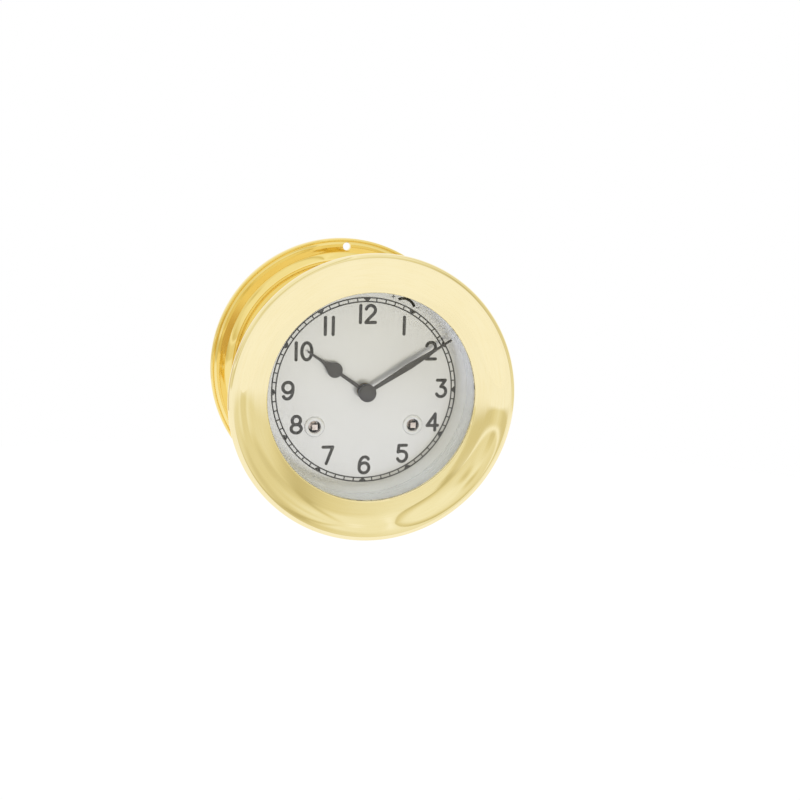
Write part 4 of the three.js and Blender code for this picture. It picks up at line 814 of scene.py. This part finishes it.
def studio_floor():
    """A wide disc under the clock: radius and angle on a grid. It looks white and keeps shadows."""
    radius = np.array(FLOOR_RINGS)[:, None]
    a = np.radians(np.arange(0, 360, FLOOR_STEP))[None]
    grid = np.broadcast_arrays(radius * np.cos(a), radius * np.sin(a), FLOOR_HEIGHT)
    mesh = mesh_of("studio_floor", [sheet_of(np.stack(grid, -1), False, True)])
    floor = bpy.data.objects.new("studio_floor", mesh)
    bpy.context.scene.collection.objects.link(floor)
    finish = bpy.data.materials.new("floor_paper")
    finish.use_nodes = True
    tree = finish.node_tree
    tree.nodes.remove(tree.nodes["Principled BSDF"])
    paper = tree.nodes.new("ShaderNodeBsdfDiffuse")
    fibre = noise(tree, position(tree), scale=60.0, detail=4.0)
    tree.links.new(tint(tree, fibre, PAPER, PAPER_DEEP), paper.inputs["Color"])
    glow = tree.nodes.new("ShaderNodeEmission")
    glow.inputs["Strength"].default_value = FLOOR_GLOW
    path = tree.nodes.new("ShaderNodeLightPath")
    mirrored = calc(tree, "MAXIMUM", path.outputs["Is Glossy Ray"], path.outputs["Is Transmission Ray"])
    seen = calc(tree, "MAXIMUM", path.outputs["Is Camera Ray"], mirrored)
    blend = tree.nodes.new("ShaderNodeMixShader")
    tree.links.new(times(tree, seen, FLOOR_SHARE), blend.inputs["Fac"])
    tree.links.new(paper.outputs["BSDF"], blend.inputs[1])
    tree.links.new(glow.outputs["Emission"], blend.inputs[2])
    tree.links.new(blend.outputs["Shader"], tree.nodes["Material Output"].inputs["Surface"])
    mesh.materials.append(finish)


# The screen, in degrees to the right of straight in front and degrees up. A line is its slope and its start.
# A fade is the two degrees that it runs between and, where they aren't 0 and 1, its values there.

WHITE, SEAM_TONE, SIDE_TONE = (1.0, 1.0, 1.0), (1.0, 1.0, 0.96), (0.66, 0.54, 0.36)
SCREEN_DEEP, SCREEN_MIDDLE, SCREEN_PALE = (0.60, 0.54, 0.33), (0.80, 0.75, 0.53), (0.955, 0.95, 0.85)
MIDDLE_SHARE = 0.55
TABLE_LINE, SEAM_LINE, UPRIGHT_LINE = (0.075, 10.0), (0.155, 5.0), (-0.085, 6.6)
TABLE_BLUR, SEAM_BLUR, UPRIGHT_BLUR = (10.0, 50.0, 0.9, 2.2), (-0.6, 0.6), (-0.5, 0.5)
AHEAD_FADE, SCREEN_TOP = (80.0, 105.0, 1.0, 0.0), (60.0, 78.0, 1.0, 0.0)

PANEL_RISE, STRIP_FADE = (-6.0, 26.0, 0.64, 1.0), (-13.0, -46.0, 0.34, 0.70)
UPRIGHT_NEAR, UPRIGHT_SHADE = (8.0, 0.0), 0.8
SMUDGE_COS, SMUDGE_SIN, SMUDGE_ALONG, SMUDGE_ACROSS = 0.8, 0.6, -28.8, 0.4
SMUDGE_LENGTH, SMUDGE_WIDTH, SMUDGE_SHADE = 10.0, 4.0, 0.62
CORNER_SIDE, CORNER_HEIGHT, CORNER_SHADE = (-29.0, -41.0), (20.0, 3.0), 0.40

STAND_LOW, STAND_HIGH, STAND_BLUR = (0.55, 20.6), (0.2, 23.8), (-2.0, 2.5)
STAND_WIDTH, STAND_FADE, STAND_SHADE = 2.3, (44.0, 16.0), 0.5
PLAIN_RISE, BESIDE_SIDE, BESIDE_HEIGHT = (1.0, 21.0, 0.46, 0.94), (21.0, 7.0, 0.0, 0.4), (22.0, 2.0)
BEYOND_RISE, BEYOND_SIDE, BEYOND_SHARE = (3.0, 29.0, 0.33, 0.9), (38.0, 57.0), 0.56
FOOT_HEIGHT, FOOT_SIDE = (1.0, -8.0, 0.0, 0.36), (62.0, 52.0)

LOW_SEAM, LOW_SEAM_FADE = 1.3, (0.0, 6.0)
HIGH_SEAM, HIGH_SEAM_AT, HIGH_SEAM_FADE = 1.9, 2.9, (6.0, 34.0, 0.2, 1.0)
FLECK_RIGHT, FLECK_WIDTH, FLECK_UP, FLECK_HEIGHT = 25.0, 4.0, 41.0, 3.5
SIDE_AT, SIDE_WIDTH, SIDE_FADE = 110.0, 22.0, (34.0, 4.0)


def lit_panel(tree, right, up, over_seam, upright):
    """How pale the screen is left of its upright edge: a panel over a seam, and a strip under it.

    The panel pales upwards, darkens towards the upright, and has a slanting smudge and a dim lower corner."""
    panel = ramp(tree, up, *PANEL_RISE)
    near = ramp(tree, upright, *UPRIGHT_NEAR, smooth=False)
    panel = minus(tree, panel, times(tree, times(tree, near, near), UPRIGHT_SHADE))
    along = plus(tree, times(tree, right, -SMUDGE_COS), slant(tree, up, SMUDGE_SIN, SMUDGE_ALONG))
    across = plus(tree, times(tree, right, SMUDGE_SIN), slant(tree, up, SMUDGE_COS, SMUDGE_ACROSS))
    smudge = times(tree, hump(tree, along, SMUDGE_LENGTH), hump(tree, across, SMUDGE_WIDTH))
    panel = minus(tree, panel, times(tree, smudge, SMUDGE_SHADE))
    corner = times(tree, ramp(tree, right, *CORNER_SIDE), ramp(tree, up, *CORNER_HEIGHT))
    panel = minus(tree, panel, times(tree, corner, CORNER_SHADE))
    strip = ramp(tree, right, *STRIP_FADE)
    return between(tree, ramp(tree, over_seam, *SEAM_BLUR), strip, panel)


def plain_wall(tree, right, up):
    """How pale the screen is right of its upright edge: a wall on both sides of a slanting dark stand."""
    edge = calc(tree, "MINIMUM", slant(tree, up, *STAND_LOW), slant(tree, up, *STAND_HIGH))
    stand = minus(tree, right, edge)
    beside = times(tree, ramp(tree, right, *BESIDE_SIDE), ramp(tree, up, *BESIDE_HEIGHT))
    plain = plus(tree, ramp(tree, up, *PLAIN_RISE), beside)
    beyond = between(tree, ramp(tree, right, *BEYOND_SIDE), ramp(tree, up, *BEYOND_RISE), BEYOND_SHARE)
    foot = times(tree, ramp(tree, up, *FOOT_HEIGHT), ramp(tree, right, *FOOT_SIDE))
    wall = between(tree, ramp(tree, stand, *STAND_BLUR), plain, plus(tree, beyond, foot))
    dark = times(tree, hump(tree, stand, STAND_WIDTH), ramp(tree, up, *STAND_FADE))
    return minus(tree, wall, times(tree, dark, STAND_SHADE))


def bright_seams(tree, right, up, over_seam, upright):
    """The white lines on the screen: its seam, one beside its upright edge, and a fleck high on the right."""
    low = times(tree, hump(tree, over_seam, LOW_SEAM), ramp(tree, upright, *LOW_SEAM_FADE))
    beside = hump(tree, plus(tree, upright, HIGH_SEAM_AT), HIGH_SEAM)
    high = times(tree, beside, ramp(tree, up, *HIGH_SEAM_FADE))
    fleck = times(tree, hump(tree, minus(tree, right, FLECK_RIGHT), FLECK_WIDTH),
                  hump(tree, minus(tree, up, FLECK_UP), FLECK_HEIGHT))
    return calc(tree, "MAXIMUM", calc(tree, "MAXIMUM", low, high), fleck)


def studio_world():
    """White all round, with a warm screen above a table in front of the clock and a tan patch on its left.

    Only polish shows the screen and the patch. The direction is read as degrees to the right of straight in
    front, and degrees up."""
    world = bpy.data.worlds.new("studio_world")
    bpy.context.scene.world = world
    world.use_nodes = True
    tree = world.node_tree
    background = tree.nodes["Background"]
    coordinate = tree.nodes.new("ShaderNodeTexCoord")
    split = tree.nodes.new("ShaderNodeSeparateXYZ")
    tree.links.new(coordinate.outputs["Generated"], split.inputs[0])
    x, y, z = split.outputs
    degree = math.degrees(1.0)
    right = times(tree, calc(tree, "ARCTAN2", x, times(tree, y, -1.0)), degree)
    up = times(tree, calc(tree, "ARCSINE", z), degree)

    above_table = plus(tree, slant(tree, right, *TABLE_LINE), up)
    over_seam = plus(tree, slant(tree, right, *SEAM_LINE), up)
    upright = minus(tree, slant(tree, up, *UPRIGHT_LINE), right)
    share = between(tree, ramp(tree, upright, *UPRIGHT_BLUR), plain_wall(tree, right, up),
                    lit_panel(tree, right, up, over_seam, upright))
    tone = tint(tree, ramp(tree, share, 0.0, MIDDLE_SHARE, smooth=False), SCREEN_DEEP, SCREEN_MIDDLE)
    tone = tint(tree, ramp(tree, share, MIDDLE_SHARE, 1.0, smooth=False), tone, SCREEN_PALE)
    tone = tint(tree, bright_seams(tree, right, up, over_seam, upright), tone, SEAM_TONE)

    polish = tree.nodes.new("ShaderNodeLightPath").outputs["Is Glossy Ray"]
    rise = ramp(tree, calc(tree, "DIVIDE", above_table, ramp(tree, right, *TABLE_BLUR)), -1.0, 1.0)
    ahead = ramp(tree, calc(tree, "ABSOLUTE", right), *AHEAD_FADE)
    screen = times(tree, rise, times(tree, ahead, ramp(tree, up, *SCREEN_TOP)))
    screen = times(tree, screen, polish)
    aside = times(tree, hump(tree, plus(tree, right, SIDE_AT), SIDE_WIDTH), ramp(tree, up, *SIDE_FADE))
    around = tint(tree, times(tree, aside, polish), WHITE, SIDE_TONE)
    tree.links.new(tint(tree, screen, around, tone), background.inputs["Color"])
    background.inputs["Strength"].default_value = 1.0


AZIMUTH, ELEVATION, ROLL = math.radians(-13.94), math.radians(11.58), math.radians(1.90)
CAMERA_DISTANCE, FOCAL_PIXELS, FRAME_PIXELS, SENSOR = 0.600, 1252.93, 800.0, 36.0
NEAREST, FARTHEST = 0.01, 50.0
AIM = Vector((0.012, -0.093, 0.00021))


def studio_camera():
    """The photograph's camera: azimuth and elevation place it about the aim point, then it rolls."""
    back = Vector((math.sin(AZIMUTH) * math.cos(ELEVATION), -math.cos(AZIMUTH) * math.cos(ELEVATION),
                   math.sin(ELEVATION)))
    side = Vector((0, 0, 1)).cross(back).normalized()
    top = back.cross(side)
    right = math.cos(ROLL) * side + math.sin(ROLL) * top
    up = -math.sin(ROLL) * side + math.cos(ROLL) * top
    lens = bpy.data.cameras.new("studio_camera")
    lens.sensor_width = SENSOR
    lens.lens = FOCAL_PIXELS / FRAME_PIXELS * SENSOR
    lens.clip_start, lens.clip_end = NEAREST, FARTHEST
    camera = bpy.data.objects.new("studio_camera", lens)
    bpy.context.scene.collection.objects.link(camera)
    place = AIM + back * CAMERA_DISTANCE
    camera.matrix_world = Matrix(((right.x, up.x, back.x, place.x), (right.y, up.y, back.y, place.y),
                                  (right.z, up.z, back.z, place.z), (0, 0, 0, 1)))
    bpy.context.scene.camera = camera


studio_floor()
studio_world()
studio_camera()
bpy.context.scene.view_settings.view_transform = "Standard"
